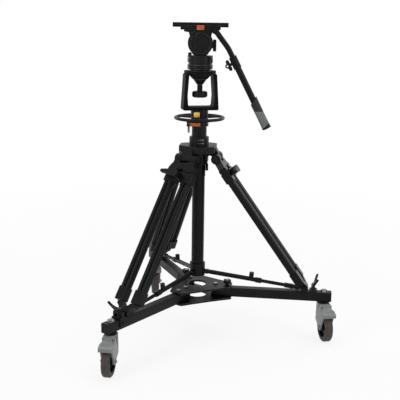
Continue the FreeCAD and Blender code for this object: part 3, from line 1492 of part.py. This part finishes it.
def save_top():
    save("ram", ram())
    save("steering_ring", steering_ring())
    save("ring_release", ring_release())
    save("yoke", yoke())
    save("half_ball", half_ball())
    save("tie_down_knob", tie_down_knob())
    save("pan_body", pan_body())
    save("drag_knob", drag_knob())
    save("tilt_body", tilt_body())
    save("release_button", release_button())
    save("camera_plate", camera_plate())
    save("handle_tube", handle_tube())
    save("handle_extension", handle_extension())
    save("handle_wing_knob", handle_wing_knob())


save_casters()
save_dolly()
save_tripod()
save_top()
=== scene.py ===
import bpy
import bmesh
import math
from mathutils import Matrix, Vector


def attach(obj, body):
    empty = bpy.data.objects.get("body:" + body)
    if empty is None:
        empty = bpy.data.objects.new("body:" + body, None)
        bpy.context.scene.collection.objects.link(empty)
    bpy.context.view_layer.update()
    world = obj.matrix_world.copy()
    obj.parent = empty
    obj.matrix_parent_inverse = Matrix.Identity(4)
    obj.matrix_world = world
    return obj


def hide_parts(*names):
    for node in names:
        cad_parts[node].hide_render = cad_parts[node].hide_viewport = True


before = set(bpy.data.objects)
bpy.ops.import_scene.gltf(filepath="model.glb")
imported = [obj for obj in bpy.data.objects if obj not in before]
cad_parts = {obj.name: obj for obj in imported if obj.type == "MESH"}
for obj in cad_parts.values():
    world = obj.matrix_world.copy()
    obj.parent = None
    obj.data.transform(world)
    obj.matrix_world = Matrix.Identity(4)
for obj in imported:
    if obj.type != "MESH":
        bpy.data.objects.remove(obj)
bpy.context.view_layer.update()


# Camera. It stands about 3.3 m in front of the pedestal at the height of the head and looks
# down a little, with a long lens, as the photograph does.

eye = Vector((0.0, -3.2728, 1.3575))
look_sideways = 0.0022
look_down = 0.2323
lean = 0.0140
lens_mm = 71.68

forward = Vector((math.sin(look_sideways) * math.cos(look_down),
                  math.cos(look_sideways) * math.cos(look_down), -math.sin(look_down)))
level_right = Vector((math.cos(look_sideways), -math.sin(look_sideways), 0.0))
level_up = level_right.cross(forward)
right = level_right * math.cos(lean) + level_up * math.sin(lean)
up = level_up * math.cos(lean) - level_right * math.sin(lean)
camera_data = bpy.data.cameras.new("camera")
camera_data.lens = lens_mm
camera_data.sensor_width = 36.0
camera_data.clip_end = 40.0
camera = bpy.data.objects.new("camera", camera_data)
bpy.context.scene.collection.objects.link(camera)
camera.matrix_world = Matrix.Translation(eye) @ Matrix((right, up, -forward)).transposed().to_4x4()
bpy.context.scene.camera = camera


# Studio. A pale seamless floor that fades into a white surround, and soft lamps: one on each
# side in front, one overhead, and a tall one on each side behind for the bright lines on tubes.

floor_colour = "#ececeb"
floor_half = 9.0
floor_white_near = 0.9
floor_white_far = 3.2
floor_near_share = 0.85
surround_light = 0.38
lamps = {
    "overhead": ((0.1, 0.2, 3.2), (2.4, 2.4), 46),
    "left_front": ((-2.5, -2.4, 2.0), (0.9, 2.4), 40),
    "right_front": ((2.7, -1.9, 1.7), (0.7, 2.4), 26),
    "left_behind": ((-2.2, 2.2, 1.5), (0.6, 2.6), 14),
    "right_behind": ((2.3, 2.1, 1.6), (1.4, 2.6), 18),
}
lamp_target = Vector((0.0, 0.0, 0.65))


def linear(colour):
    """A hex colour, as it is seen on a screen, as linear red, green, blue and alpha."""
    parts = []
    for start in (1, 3, 5):
        share = int(colour[start:start + 2], 16) / 255
        parts.append(share / 12.92 if share <= 0.04045 else ((share + 0.055) / 1.055) ** 2.4)
    return (*parts, 1.0)


def add(tree, kind, inputs=(), **settings):
    """One new node with its settings. An input's value is a number, a colour or a socket to link."""
    made = tree.nodes.new(kind)
    for name, value in settings.items():
        setattr(made, name, value)
    for name, value in dict(inputs).items():
        if isinstance(value, bpy.types.NodeSocket):
            tree.links.new(value, made.inputs[name])
        else:
            made.inputs[name].default_value = value
    return made


world = bpy.data.worlds.new("studio")
bpy.context.scene.world = world
world.use_nodes = True
sky = world.node_tree
sky.nodes.clear()
rays = add(sky, "ShaderNodeLightPath")
seen = add(sky, "ShaderNodeMath", {0: rays.outputs["Is Camera Ray"], 1: rays.outputs["Is Glossy Ray"]},
           operation="ADD", use_clamp=True)
seen = add(sky, "ShaderNodeMath", {0: seen.outputs[0], 1: rays.outputs["Is Transmission Ray"]},
           operation="ADD", use_clamp=True)
level = add(sky, "ShaderNodeMapRange", {"Value": seen.outputs[0], "To Min": surround_light, "To Max": 1.0})
surround = add(sky, "ShaderNodeBackground", {"Color": (1, 1, 1, 1), "Strength": level.outputs[0]})
add(sky, "ShaderNodeOutputWorld", {"Surface": surround.outputs[0]})

floor_form = bmesh.new()
bmesh.ops.create_grid(floor_form, x_segments=1, y_segments=1, size=floor_half)
floor_mesh = bpy.data.meshes.new("floor")
floor_form.to_mesh(floor_mesh)
floor_form.free()
floor = bpy.data.objects.new("floor", floor_mesh)
bpy.context.scene.collection.objects.link(floor)
floor_paint = bpy.data.materials.new("studio_floor_vinyl")
floor_paint.use_nodes = True
tree = floor_paint.node_tree
tree.nodes.clear()
place = add(tree, "ShaderNodeNewGeometry")
reach = add(tree, "ShaderNodeVectorMath", {0: place.outputs["Position"]}, operation="LENGTH")
whiter = add(tree, "ShaderNodeMapRange",
             {"Value": reach.outputs["Value"], "From Min": floor_white_near, "From Max": floor_white_far,
              "To Min": floor_near_share, "To Max": 1.0})
rays = add(tree, "ShaderNodeLightPath")
seen = add(tree, "ShaderNodeMath", {0: rays.outputs["Is Camera Ray"], 1: rays.outputs["Is Glossy Ray"]},
           operation="ADD", use_clamp=True)
glow_share = add(tree, "ShaderNodeMath", {0: seen.outputs[0], 1: whiter.outputs[0]}, operation="MULTIPLY")
lit = add(tree, "ShaderNodeBsdfDiffuse", {"Color": linear(floor_colour)})
glow = add(tree, "ShaderNodeEmission", {"Color": (1, 1, 1, 1), "Strength": 1.0})
both = add(tree, "ShaderNodeMixShader", {0: glow_share.outputs[0], 1: lit.outputs[0], 2: glow.outputs[0]})
add(tree, "ShaderNodeOutputMaterial", {"Surface": both.outputs[0]})
floor_mesh.materials.append(floor_paint)

for name, (place, size, power) in lamps.items():
    lamp_data = bpy.data.lights.new(name, "AREA")
    lamp_data.shape = "RECTANGLE"
    lamp_data.size = size[0]
    lamp_data.size_y = size[1]
    lamp_data.energy = power
    lamp = bpy.data.objects.new(name, lamp_data)
    bpy.context.scene.collection.objects.link(lamp)
    aim = lamp_target - Vector(place)
    lamp.matrix_world = Matrix.Translation(place) @ aim.to_track_quat("-Z", "Y").to_matrix().to_4x4()
bpy.context.scene.view_settings.view_transform = "Standard"


# Casters. Three swivel casters with 125 mm wheels: a hooded housing of zinc die casting with grey
# enamel, a grey-brown polyurethane tread on a nylon core, and a foot brake of the same grey.

arm_turns = {"front": -127.0, "right": -7.0, "rear": 113.0}
trail_turns = {"front": -98.0, "right": -80.5, "rear": -83.5}
stem_reach = 0.543
wheel_trail = 0.038
wheel_radius = 0.0625
core_radius = 0.0455
hood_half = 0.025
hood_skin = 0.0252
race_bottom = 0.1585
# Height and radius of a thin dark ring on the housing's top: painted shade under the arm.
shade_ring_bottom = 0.1596
shade_ring_top = 0.1618
shade_ring_radius = 0.0246
nut_seat = 0.0028
nut_height = 0.0035
nut_radius = 0.0078
axle_height = 0.0055
axle_radius = 0.0042
axle_end_radius = 0.0036
rivet_sunk = 0.0002
rivet_height = 0.0014
rivet_radius = 0.0042
rivet_end_radius = 0.0030
pedal_pivot = Vector((0.034, 0.0, 0.150))
pedal_run = Vector((0.053, 0.0, -0.017))
pedal_surface = Vector((0.0, 0.0, 0.0027))
rib_shares = (0.62, 0.74, 0.86)
rib_half = Vector((0.0, 0.021, 0.0))
rib_radius = 0.0009
gloss_swing = 0.05
weld_distance = 1e-6
flat_angle = math.radians(0.6)


def finish(name, light, dark, patch_mm, roughness, grain_mm, grain_depth_mm, **uniform):
    """A finish with faint patches between two colours, an uneven gloss and a fine raised grain."""
    material = bpy.data.materials.new(name)
    material.use_nodes = True
    tree = material.node_tree
    tree.nodes.clear()
    place = add(tree, "ShaderNodeTexCoord").outputs["Object"]
    patches = add(tree, "ShaderNodeTexNoise", {"Vector": place, "Scale": 1000 / patch_mm, "Detail": 3.0})
    colours = add(tree, "ShaderNodeValToRGB", {"Fac": patches.outputs["Fac"]})
    colours.color_ramp.elements[0].position = 0.35
    colours.color_ramp.elements[0].color = linear(dark)
    colours.color_ramp.elements[1].position = 0.65
    colours.color_ramp.elements[1].color = linear(light)
    gloss = add(tree, "ShaderNodeMapRange", {"Value": patches.outputs["Fac"], "From Min": 0.3,
                                             "From Max": 0.7, "To Min": roughness - gloss_swing,
                                             "To Max": roughness + gloss_swing})
    grain = add(tree, "ShaderNodeTexNoise", {"Vector": place, "Scale": 1000 / grain_mm, "Detail": 2.0})
    raised = add(tree, "ShaderNodeBump", {"Height": grain.outputs["Fac"], "Strength": 1.0,
                                          "Distance": grain_depth_mm / 1000})
    shader = add(tree, "ShaderNodeBsdfPrincipled", {"Base Color": colours.outputs["Color"],
                                                    "Roughness": gloss.outputs[0],
                                                    "Normal": raised.outputs[0], **uniform})
    add(tree, "ShaderNodeOutputMaterial", {"Surface": shader.outputs[0]})
    return material


def bar(form, start, end, radius, end_radius=None, sides=32):
    """A round bar or a cone between two points, or a prism where it has few sides."""
    start, end = Vector(start), Vector(end)
    run = end - start
    place = Matrix.Translation((start + end) / 2) @ run.to_track_quat("Z", "Y").to_matrix().to_4x4()
    bmesh.ops.create_cone(form, cap_ends=True, segments=sides, radius1=radius,
                          radius2=radius if end_radius is None else end_radius, depth=run.length,
                          matrix=place)


def block(form, low, high):
    """A block between two corners."""
    low, high = Vector(low), Vector(high)
    place = Matrix.Translation((low + high) / 2) @ Matrix.Diagonal((*(high - low), 1.0))
    bmesh.ops.create_cube(form, size=1.0, matrix=place)


def finished(name, form, body, materials, edge_mm=0.0, sharp=32.0, index_of=None, place=None,
             highlight_finish=None):
    """A piece from a bmesh: smooth where it curves, each face in its material, its edges rounded.

    The rounded edges are in the highlight finish where there is one: a paler colour that paints a
    highlight along them.
    """
    for face in form.faces:
        face.smooth = True
        if index_of:
            face.material_index = index_of(face.calc_center_median())
    for edge in form.edges:
        if len(edge.link_faces) != 2 or edge.calc_face_angle(0.0) > math.radians(sharp):
            edge.smooth = False
    if place is not None:
        bmesh.ops.transform(form, matrix=place, verts=form.verts)
    mesh = bpy.data.meshes.new(name)
    form.to_mesh(mesh)
    form.free()
    for material in materials:
        mesh.materials.append(material)
    piece = bpy.data.objects.new(name, mesh)
    bpy.context.scene.collection.objects.link(piece)
    if edge_mm:
        rounding = piece.modifiers.new("edge_rounding", "BEVEL")
        rounding.width = edge_mm / 1000
        rounding.segments = 2
        rounding.limit_method = "ANGLE"
        rounding.angle_limit = math.radians(sharp)
        rounding.harden_normals = True
        # The bevel's faces take the paler finish: a painted highlight along the edges.
        if highlight_finish:
            mesh.materials.append(highlight_finish)
            rounding.material = len(materials)
    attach(piece, body)
    return piece


def dressed(node, body, materials, edge_mm=0.6, sharp=32.0, index_of=None, highlight_finish=None):
    """The node's own shape as a finished piece that stands for it."""
    form = bmesh.new()
    form.from_mesh(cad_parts[node].data)
    bmesh.ops.remove_doubles(form, verts=form.verts, dist=weld_distance)
    if edge_mm:
        bmesh.ops.dissolve_limit(form, angle_limit=flat_angle, verts=form.verts, edges=form.edges)
    piece = finished(node + "_finished", form, body, materials, edge_mm, sharp, index_of, highlight_finish=highlight_finish)
    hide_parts(node)
    return piece


# Grey enamel over zinc: smooth, with a low gloss and a slight orange peel.
grey_enamel = finish("grey_enamel", "#7f8181", "#717373", 60, 0.40, 3.0, 0.02,
                     **{"Specular IOR Level": 0.4})
# The same enamel on the rounded edges, paler and smoother: a painted highlight along the edges.
edge_highlight_grey = finish("grey_enamel_painted_edge_highlight", "#a2a4a4", "#8f9191", 20, 0.30, 2.0, 0.01)
# Cast polyurethane: grey-brown, dull, dusty in patches from the floor.
polyurethane = finish("polyurethane_tread", "#48423f", "#393432", 14, 0.62, 0.8, 0.05,
                      **{"Specular IOR Level": 0.3})
# Glass-filled nylon, moulded: dark grey with a fine spark texture.
nylon = finish("moulded_nylon_black", "#121214", "#0b0b0d", 25, 0.46, 0.7, 0.04,
               **{"Specular IOR Level": 0.14})
# The moulding's rounded edges in a paler grey, a little smoother: a painted highlight along the edges.
edge_highlight_nylon = finish("moulded_nylon_painted_edge_highlight", "#4e4e52", "#3a3a3d", 20, 0.36, 0.9, 0.01)
# Zinc-plated steel: pale and slightly blue, with a fine grain.
zinc_plate = finish("zinc_plated_steel", "#9a9da1", "#7f8286", 6, 0.32, 0.5, 0.02, Metallic=1.0)

for name in arm_turns:
    stem = Matrix.Rotation(math.radians(arm_turns[name]), 3, "Z") @ Vector((stem_reach, 0.0, 0.0))
    turn = Matrix.Rotation(math.radians(-trail_turns[name]), 3, "Z")
    placed = Matrix.Translation(stem) @ Matrix.Rotation(math.radians(trail_turns[name]), 4, "Z")

    # The race at the top of the housing is in the dark nylon: painted shade under the arm.
    def housing_part(centre, stem=stem, turn=turn):
        place = turn @ (centre - stem)
        if place.z > race_bottom:
            return 2
        return 1 if abs(place.y) > hood_skin else 0

    def wheel_part(centre, stem=stem, turn=turn):
        place = turn @ (centre - stem)
        return 1 if math.hypot(place.x - wheel_trail, place.z - wheel_radius) < core_radius else 0

    dressed(name + "_caster_housing", name + "_caster", [grey_enamel, zinc_plate, nylon],
            1.0, 25, housing_part, edge_highlight_grey)
    dressed(name + "_caster_wheel", name + "_wheel", [polyurethane, nylon], 0.8, 25, wheel_part)
    dressed(name + "_caster_pedal", name + "_pedal", [grey_enamel], 1.0,
            highlight_finish=edge_highlight_grey)

    nuts = bmesh.new()
    for way in (-1, 1):
        seat = Vector((wheel_trail, way * (hood_half + nut_seat), wheel_radius))
        out = Vector((0.0, way, 0.0))
        bar(nuts, seat, seat + out * nut_height, nut_radius, sides=6)
        bar(nuts, seat, seat + out * axle_height, axle_radius, axle_end_radius)
        rivet = Vector((pedal_pivot.x, way * (hood_half - rivet_sunk), pedal_pivot.z))
        bar(nuts, rivet, rivet + out * rivet_height, rivet_radius, rivet_end_radius)
    finished(name + "_axle_nuts", nuts, name + "_caster", [zinc_plate], 0.3, place=placed)
    # A thin ring of the dark nylon on top of the housing: painted shade under the arm.
    dark_ring = bmesh.new()
    bar(dark_ring, (0, 0, shade_ring_bottom), (0, 0, shade_ring_top), shade_ring_radius, sides=64)
    finished(name + "_painted_shade_ring", dark_ring, name + "_caster", [nylon], 0.5, place=placed)
    treads = bmesh.new()
    for share in rib_shares:
        middle = pedal_pivot + pedal_run * share + pedal_surface
        bar(treads, middle - rib_half, middle + rib_half, rib_radius, sides=12)
    finished(name + "_pedal_ribs", treads, name + "_pedal", [grey_enamel], place=placed)


# Ground dolly. Rectangular steel tubes between two laser-cut hub plates, all in satin black powder
# coat, with zinc-plated bolts, moulded end caps and two star knobs that lock the folding arms.

hub_bolt_places = ((-0.04815, -0.0639), (-0.0783, -0.1039), (0.0794, -0.0098), (-0.0313, 0.0737))
plate_top = 0.2147
arm_top = 0.2065
arm_low_face = 0.1664
arm_high_face = 0.2064
stem_radius = 0.0145
end_cap_start = 0.5712
sunk = 0.0002
hub_washer_rise = 0.0011
hub_washer_radius = 0.0112
stem_washer_rise = 0.0012
thread_start = 0.008
thread_end = 0.0115
thread_radius = 0.0056
thread_end_radius = 0.0048
lock_cap_reach = 0.130
lock_cap_bottom = 0.2361
lock_cap_top = 0.2372
lock_cap_radius = 0.0062
lock_cap_top_radius = 0.0055

# Polyester powder coat over steel: satin, with the fine orange peel that the oven leaves.
powder_coat = finish("black_powder_coat", "#121213", "#0b0b0c", 70, 0.40, 1.6, 0.03,
                     **{"Specular IOR Level": 0.14})
# The same coat on the rounded edges in a paler grey, a little smoother: a painted highlight along the
# edges.
edge_highlight_coat = finish("black_powder_coat_painted_edge_highlight", "#5c5c60", "#444448", 30, 0.34, 1.6, 0.01)


def arm_place(centre, name):
    """A place in the arm's own axes: along the arm, across it and up."""
    return Matrix.Rotation(math.radians(-arm_turns[name]), 3, "Z") @ centre


for plate in ("hub_top_plate", "hub_bottom_plate"):
    dressed(plate, "dolly", [powder_coat], 0.9, highlight_finish=edge_highlight_coat)
dressed("hub_bolts", "dolly", [zinc_plate], 0.5)
washers = bmesh.new()
for x, y in hub_bolt_places:
    bar(washers, (x, y, plate_top - sunk), (x, y, plate_top + hub_washer_rise), hub_washer_radius)
finished("hub_washers", washers, "dolly", [powder_coat], 0.2)

for name in arm_turns:
    arm_body = "dolly" if name == "front" else name + "_arm"
    placed = Matrix.Rotation(math.radians(arm_turns[name]), 4, "Z")

    def arm_part(centre, name=name):
        place = arm_place(centre, name)
        on_stem = math.hypot(place.x - stem_reach, place.y) < stem_radius
        if on_stem and not arm_low_face < place.z < arm_high_face:
            return 1
        return 2 if place.x > end_cap_start else 0

    dressed(name + "_arm", arm_body, [powder_coat, zinc_plate, nylon], 0.9, 32,
            arm_part, edge_highlight_coat)

    dressed(name + "_foot_clamp", arm_body, [nylon], 0.8, highlight_finish=edge_highlight_nylon)
    dressed(name + "_foot_lever", name + "_foot_lever", [nylon], 1.0, highlight_finish=edge_highlight_nylon)
    stem_top = bmesh.new()
    bar(stem_top, (stem_reach, 0, arm_top - sunk), (stem_reach, 0, arm_top + stem_washer_rise),
        stem_radius, sides=48)
    bar(stem_top, (stem_reach, 0, arm_top + thread_start), (stem_reach, 0, arm_top + thread_end),
        thread_radius, thread_end_radius)
    finished(name + "_stem_washer", stem_top, arm_body, [zinc_plate], 0.2, place=placed)
    if name != "front":
        dressed(name + "_arm_lock_knob", name + "_arm_lock", [nylon], 0.8,
                highlight_finish=edge_highlight_nylon)
        insert = bmesh.new()
        bar(insert, (lock_cap_reach, 0, lock_cap_bottom), (lock_cap_reach, 0, lock_cap_top),
            lock_cap_radius, lock_cap_top_radius, sides=48)
        finished(name + "_arm_lock_cap", insert, name + "_arm_lock", [zinc_plate],
                 place=placed)


# Tripod. A die-cast spider and twin-tube telescopic legs: oval aluminium extrusions, anodised black,
# in castings with a lock lever each, on a column with a clamp collar.

leg_hinge = Vector((0.076, 0.0, 0.768))
leg_foot = Vector((0.462, 0.0, 0.2212))
outer_tube = 0.053
inner_tube = 0.031
collar_screw_side = -0.0445
collar_screw_rises = (0.8302, 0.8438)
collar_screw_zone = 0.0057
collar_screw_start = 0.006
collar_screw_end = 0.0152
collar_head_seat = 0.0148
collar_head_top = 0.0178
collar_head_radius = 0.0050
collar_head_top_radius = 0.0042
block_screw_place = 0.054
block_screw_seat = 0.0139
block_screw_height = 0.0018
block_screw_radius = 0.0030
block_screw_top_radius = 0.0026

# Anodised aluminium extrusion: black with a silky, nearly even gloss.
black_anodised = finish("black_anodised_extrusion", "#0e0e10", "#08080a", 90, 0.32, 6.0, 0.006,
                        **{"Specular IOR Level": 0.13})
# Die casting under black enamel: satin, slightly uneven.
cast_enamel = finish("black_enamel_die_casting", "#111113", "#0a0a0c", 35, 0.42, 1.8, 0.04,
                     **{"Specular IOR Level": 0.13})
# The casting's rounded edges in a paler grey, a little smoother: a painted highlight that brings out the
# edges.
edge_highlight_cast = finish("black_enamel_painted_edge_highlight", "#6c6c70", "#505054", 25, 0.30, 1.8, 0.01)
# Acetal moulding, dyed orange.
orange_acetal = finish("orange_acetal", "#b85a20", "#9c4714", 12, 0.34, 0.9, 0.02)


def spider_part(centre):
    for rise in collar_screw_rises:
        if math.hypot(centre.y - collar_screw_side, centre.z - rise) < collar_screw_zone:
            return 1 if collar_screw_start < centre.x < collar_screw_end else 0
    return 0


dressed("spider", "column", [cast_enamel, zinc_plate], 1.0, 32, spider_part, edge_highlight_cast)
split_screws = bmesh.new()
for rise in collar_screw_rises:
    bar(split_screws, (collar_head_seat, collar_screw_side, rise),
        (collar_head_top, collar_screw_side, rise), collar_head_radius, collar_head_top_radius)
finished("split_screw_heads", split_screws, "column", [zinc_plate], 0.2)
dressed("column_tube", "column", [black_anodised], 0.0)
dressed("height_lock_lever", "height_lock_lever", [orange_acetal], 2.0)
dressed("brake_blade", "brake_blade", [grey_enamel], 0.6)
dressed("column_clamp_knob", "column_clamp_knob", [nylon], 0.8, highlight_finish=edge_highlight_nylon)
for name in arm_turns:
    dressed(name + "_leg_upper", name + "_leg_upper", [black_anodised], 0.0, 28)
    dressed(name + "_leg_lower", name + "_leg_lower", [black_anodised], 0.0, 28)
    dressed(name + "_leg_lock_knob", name + "_leg_lock", [nylon], 1.0,
            highlight_finish=edge_highlight_nylon)
    dressed(name + "_spreader_outer", name + "_spreader_outer", [black_anodised], 0.0)
    dressed(name + "_spreader_inner", name + "_spreader_inner", [black_anodised], 0.0)
    dressed(name + "_spreader_knob", name + "_spreader_knob", [nylon], 0.8,
            highlight_finish=edge_highlight_nylon)

    along = (leg_foot - leg_hinge).normalized()
    outward = Vector((-along.z, 0.0, along.x))
    across = Vector((0.0, 1.0, 0.0))
    placed = Matrix.Rotation(math.radians(arm_turns[name]), 4, "Z")
    screws = bmesh.new()
    for side in (-outer_tube, -inner_tube, inner_tube, outer_tube):
        seat = leg_hinge + along * block_screw_place + across * side + outward * block_screw_seat
        bar(screws, seat, seat + outward * block_screw_height, block_screw_radius,
            block_screw_top_radius, sides=24)
    finished(name + "_leg_block_screws", screws, name + "_leg_upper", [zinc_plate],
             place=placed)


# Lifting part. The ram with its head, the steering ring and the yoke that carries the bowl.

ram_head_bottom = 0.9235

# Hard chromed steel ram.
hard_chrome = finish("hard_chrome", "#c9cbcd", "#bcbec1", 40, 0.18, 6.0, 0.002, Metallic=1.0)
# Gold anodised aluminium button.
gold_anodised = finish("gold_anodised", "#ecc468", "#dfb455", 8, 0.32, 0.6, 0.01, Metallic=0.6)
# Polyvinyl foam skin of the steering ring: black, soft, with a low sheen.
ring_skin = finish("black_ring_skin", "#111113", "#0b0b0d", 30, 0.38, 1.2, 0.05,
                   **{"Specular IOR Level": 0.14})
# Wrinkle enamel on the yoke's casting: dull, with a fine crackle.
wrinkle_enamel = finish("black_wrinkle_enamel", "#111113", "#0a0a0c", 35, 0.62, 1.1, 0.08,
                        **{"Specular IOR Level": 0.06})
# Its rounded edges in a paler, smoother and flatter finish: a painted highlight along the edges.
edge_highlight_wrinkle = finish("black_wrinkle_enamel_painted_edge_highlight", "#4c4c50", "#38383b", 25, 0.45, 1.8, 0.01,
                      **{"Specular IOR Level": 0.2})


def ram_part(centre):
    return 0 if centre.z > ram_head_bottom else 1


dressed("ram", "ram", [cast_enamel, hard_chrome], 0.8, 32, ram_part, edge_highlight_cast)
dressed("steering_ring", "ram", [ring_skin], 0.6)
dressed("yoke", "ram", [wrinkle_enamel], 2.0, highlight_finish=edge_highlight_wrinkle)
dressed("ring_release", "ring_release", [gold_anodised], 0.8)


# Fluid head. Half ball with its tie-down knob, pan base with its index marks and level, tilt
# housing, platform, and the sliding camera plate with rubber strips and two camera screws.

mark_radius = 0.0478
mark_rise = 1.1465
mark_count = 72
long_mark_every = 6
mark_length = 0.0020
long_mark_length = 0.0034
mark_half_width = 0.0004
mark_sunk = 0.0004
mark_raised = 0.0002
plate_face = 1.315
level_top = Vector((-0.042, -0.012, 1.1961))
strip_places = (-0.104, -0.086, -0.014, 0.014, 0.086, 0.104)
camera_screw_places = (-0.040, 0.046)
camera_screw_bottom = 1.3065
camera_screw_top = 1.3146
camera_screw_radius = 0.0044
camera_screw_top_radius = 0.0041
rim_rise = Vector((0, 0, 0.0012))
rim_radius = 0.0056
vial_bottom = Vector((0, 0, 0.0010))
vial_rise = Vector((0, 0, 0.0016))
vial_radius = 0.0044
vial_top_radius = 0.0038

# Black filling of the index marks: dull, so that they show on the satin enamel.
mark_black = finish("index_mark_black", "#060606", "#030303", 5, 0.8, 0.5, 0.01,
                    **{"Specular IOR Level": 0.05})
# Ground rubber of the camera plate's strips.
strip_rubber = finish("camera_plate_rubber", "#1c1b1c", "#131213", 8, 0.75, 0.6, 0.1)
# The level's vial: yellow-green spirit behind clear acrylic.
vial_green = finish("level_vial_green", "#a3b83a", "#93a932", 20, 0.10, 2.0, 0.001)


def plate_part(centre):
    on_top = centre.z > plate_face - 0.0001
    return 1 if on_top and any(low < centre.x < high for low, high in
                               zip(strip_places[::2], strip_places[1::2])) else 0


dressed("half_ball", "bowl_base", [cast_enamel], 0.8, highlight_finish=edge_highlight_cast)
dressed("tie_down_knob", "tie_down_knob", [nylon], 1.0, highlight_finish=edge_highlight_nylon)
dressed("pan_body", "pan", [cast_enamel], 1.2, highlight_finish=edge_highlight_cast)
dressed("drag_knob", "drag_knob", [nylon], 1.0, highlight_finish=edge_highlight_nylon)
dressed("tilt_body", "tilt", [cast_enamel], 1.2, highlight_finish=edge_highlight_cast)
dressed("release_button", "release_button", [orange_acetal], 1.0)

plate_form = bmesh.new()
plate_form.from_mesh(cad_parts["camera_plate"].data)
bmesh.ops.remove_doubles(plate_form, verts=plate_form.verts, dist=weld_distance)
bmesh.ops.dissolve_limit(plate_form, angle_limit=flat_angle, verts=plate_form.verts,
                         edges=plate_form.edges)
for cut in strip_places:
    everything = plate_form.verts[:] + plate_form.edges[:] + plate_form.faces[:]
    bmesh.ops.bisect_plane(plate_form, geom=everything, plane_co=(cut, 0, 0), plane_no=(1, 0, 0))
camera_plate = finished("camera_plate_finished", plate_form, "camera_plate",
                        [cast_enamel, strip_rubber], 0.8, 32, plate_part, highlight_finish=edge_highlight_cast)
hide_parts("camera_plate")
camera_screws = bmesh.new()
for place in camera_screw_places:
    bar(camera_screws, (place, 0, camera_screw_bottom), (place, 0, camera_screw_top),
        camera_screw_radius, camera_screw_top_radius)
finished("camera_screws", camera_screws, "camera_plate", [zinc_plate], 0.2)

rim = bmesh.new()
bar(rim, level_top, level_top + rim_rise, rim_radius)
finished("level_rim", rim, "pan", [zinc_plate], 0.2)
vial = bmesh.new()
bar(vial, level_top + vial_bottom, level_top + vial_rise, vial_radius, vial_top_radius)
finished("level_vial", vial, "pan", [vial_green])

marks = bmesh.new()
for step in range(mark_count):
    tick = bmesh.new()
    height = mark_length if step % long_mark_every else long_mark_length
    block(tick, (mark_radius - mark_sunk, -mark_half_width, mark_rise - height / 2),
          (mark_radius + mark_raised, mark_half_width, mark_rise + height / 2))
    bmesh.ops.rotate(tick, verts=tick.verts, cent=(0, 0, 0),
                     matrix=Matrix.Rotation(2 * math.pi * step / mark_count, 3, "Z"))
    tick_mesh = bpy.data.meshes.new("tick")
    tick.to_mesh(tick_mesh)
    tick.free()
    marks.from_mesh(tick_mesh)
    bpy.data.meshes.remove(tick_mesh)
finished("pan_index_marks", marks, "bowl_base", [mark_black])


# Pan bar. A bent aluminium tube from the rosette, a telescopic tube with a moulded grip, and the
# wing knob of its clamp.

bend = Vector((0.112, -0.052, 1.216))
grip_end = Vector((0.2745, -0.052, 0.899))
bar_run = (grip_end - bend).normalized()
bar_side = Vector((bar_run.z, 0.0, -bar_run.x))
tube_radius = 0.0134
grip_length = 0.1375
cap_length = 0.012
cap_lean = 0.37
pale_length = 0.077
pale_lean = 0.5
cap_place = grip_end - bar_run * cap_length
cap_slant = bar_run - bar_side * cap_lean
pale_place = grip_end - bar_run * pale_length
pale_slant = bar_run + bar_side * pale_lean
rosette = Vector((0.0585, -0.0645, 1.286))
rosette_screw_sunk = Vector((0, 0.0004, 0))
rosette_screw_rise = Vector((0, 0.0024, 0))
rosette_screw_radius = 0.0062

# Moulded rubber grip, two shots: a dark half and a pale half.
grip_dark = finish("grip_rubber_dark", "#2e2b2f", "#232125", 20, 0.6, 0.9, 0.08,
                   **{"Specular IOR Level": 0.25})
grip_pale = finish("grip_rubber_pale", "#717474", "#636666", 20, 0.6, 0.9, 0.08,
                   **{"Specular IOR Level": 0.3})


def grip_part(centre):
    along = (centre - bend).dot(bar_run)
    from_axis = (centre - bend - bar_run * along).length
    if (centre - grip_end).dot(bar_run) < -grip_length:
        return 0
    if (centre - cap_place).dot(cap_slant) > 0:
        return 3
    if from_axis < tube_radius:
        return 0
    return 2 if (centre - pale_place).dot(pale_slant) > 0 else 1


dressed("handle_tube", "handle", [black_anodised], 0.0)
grip_form = bmesh.new()
grip_form.from_mesh(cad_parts["handle_extension"].data)
bmesh.ops.remove_doubles(grip_form, verts=grip_form.verts, dist=weld_distance)
for place, slant in ((cap_place, cap_slant), (pale_place, pale_slant)):
    everything = grip_form.verts[:] + grip_form.edges[:] + grip_form.faces[:]
    bmesh.ops.bisect_plane(grip_form, geom=everything, plane_co=place, plane_no=slant)
handle_extension = finished("handle_extension_finished", grip_form, "handle_extension",
                            [black_anodised, grip_dark, grip_pale, nylon], 0.0, 32, grip_part)
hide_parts("handle_extension")
dressed("handle_wing_knob", "handle_wing_knob", [nylon], 0.8, highlight_finish=edge_highlight_nylon)
rosette_screw = bmesh.new()
bar(rosette_screw, rosette + rosette_screw_sunk, rosette - rosette_screw_rise, rosette_screw_radius,
    sides=6)
finished("rosette_screw", rosette_screw, "handle", [cast_enamel], 0.3)
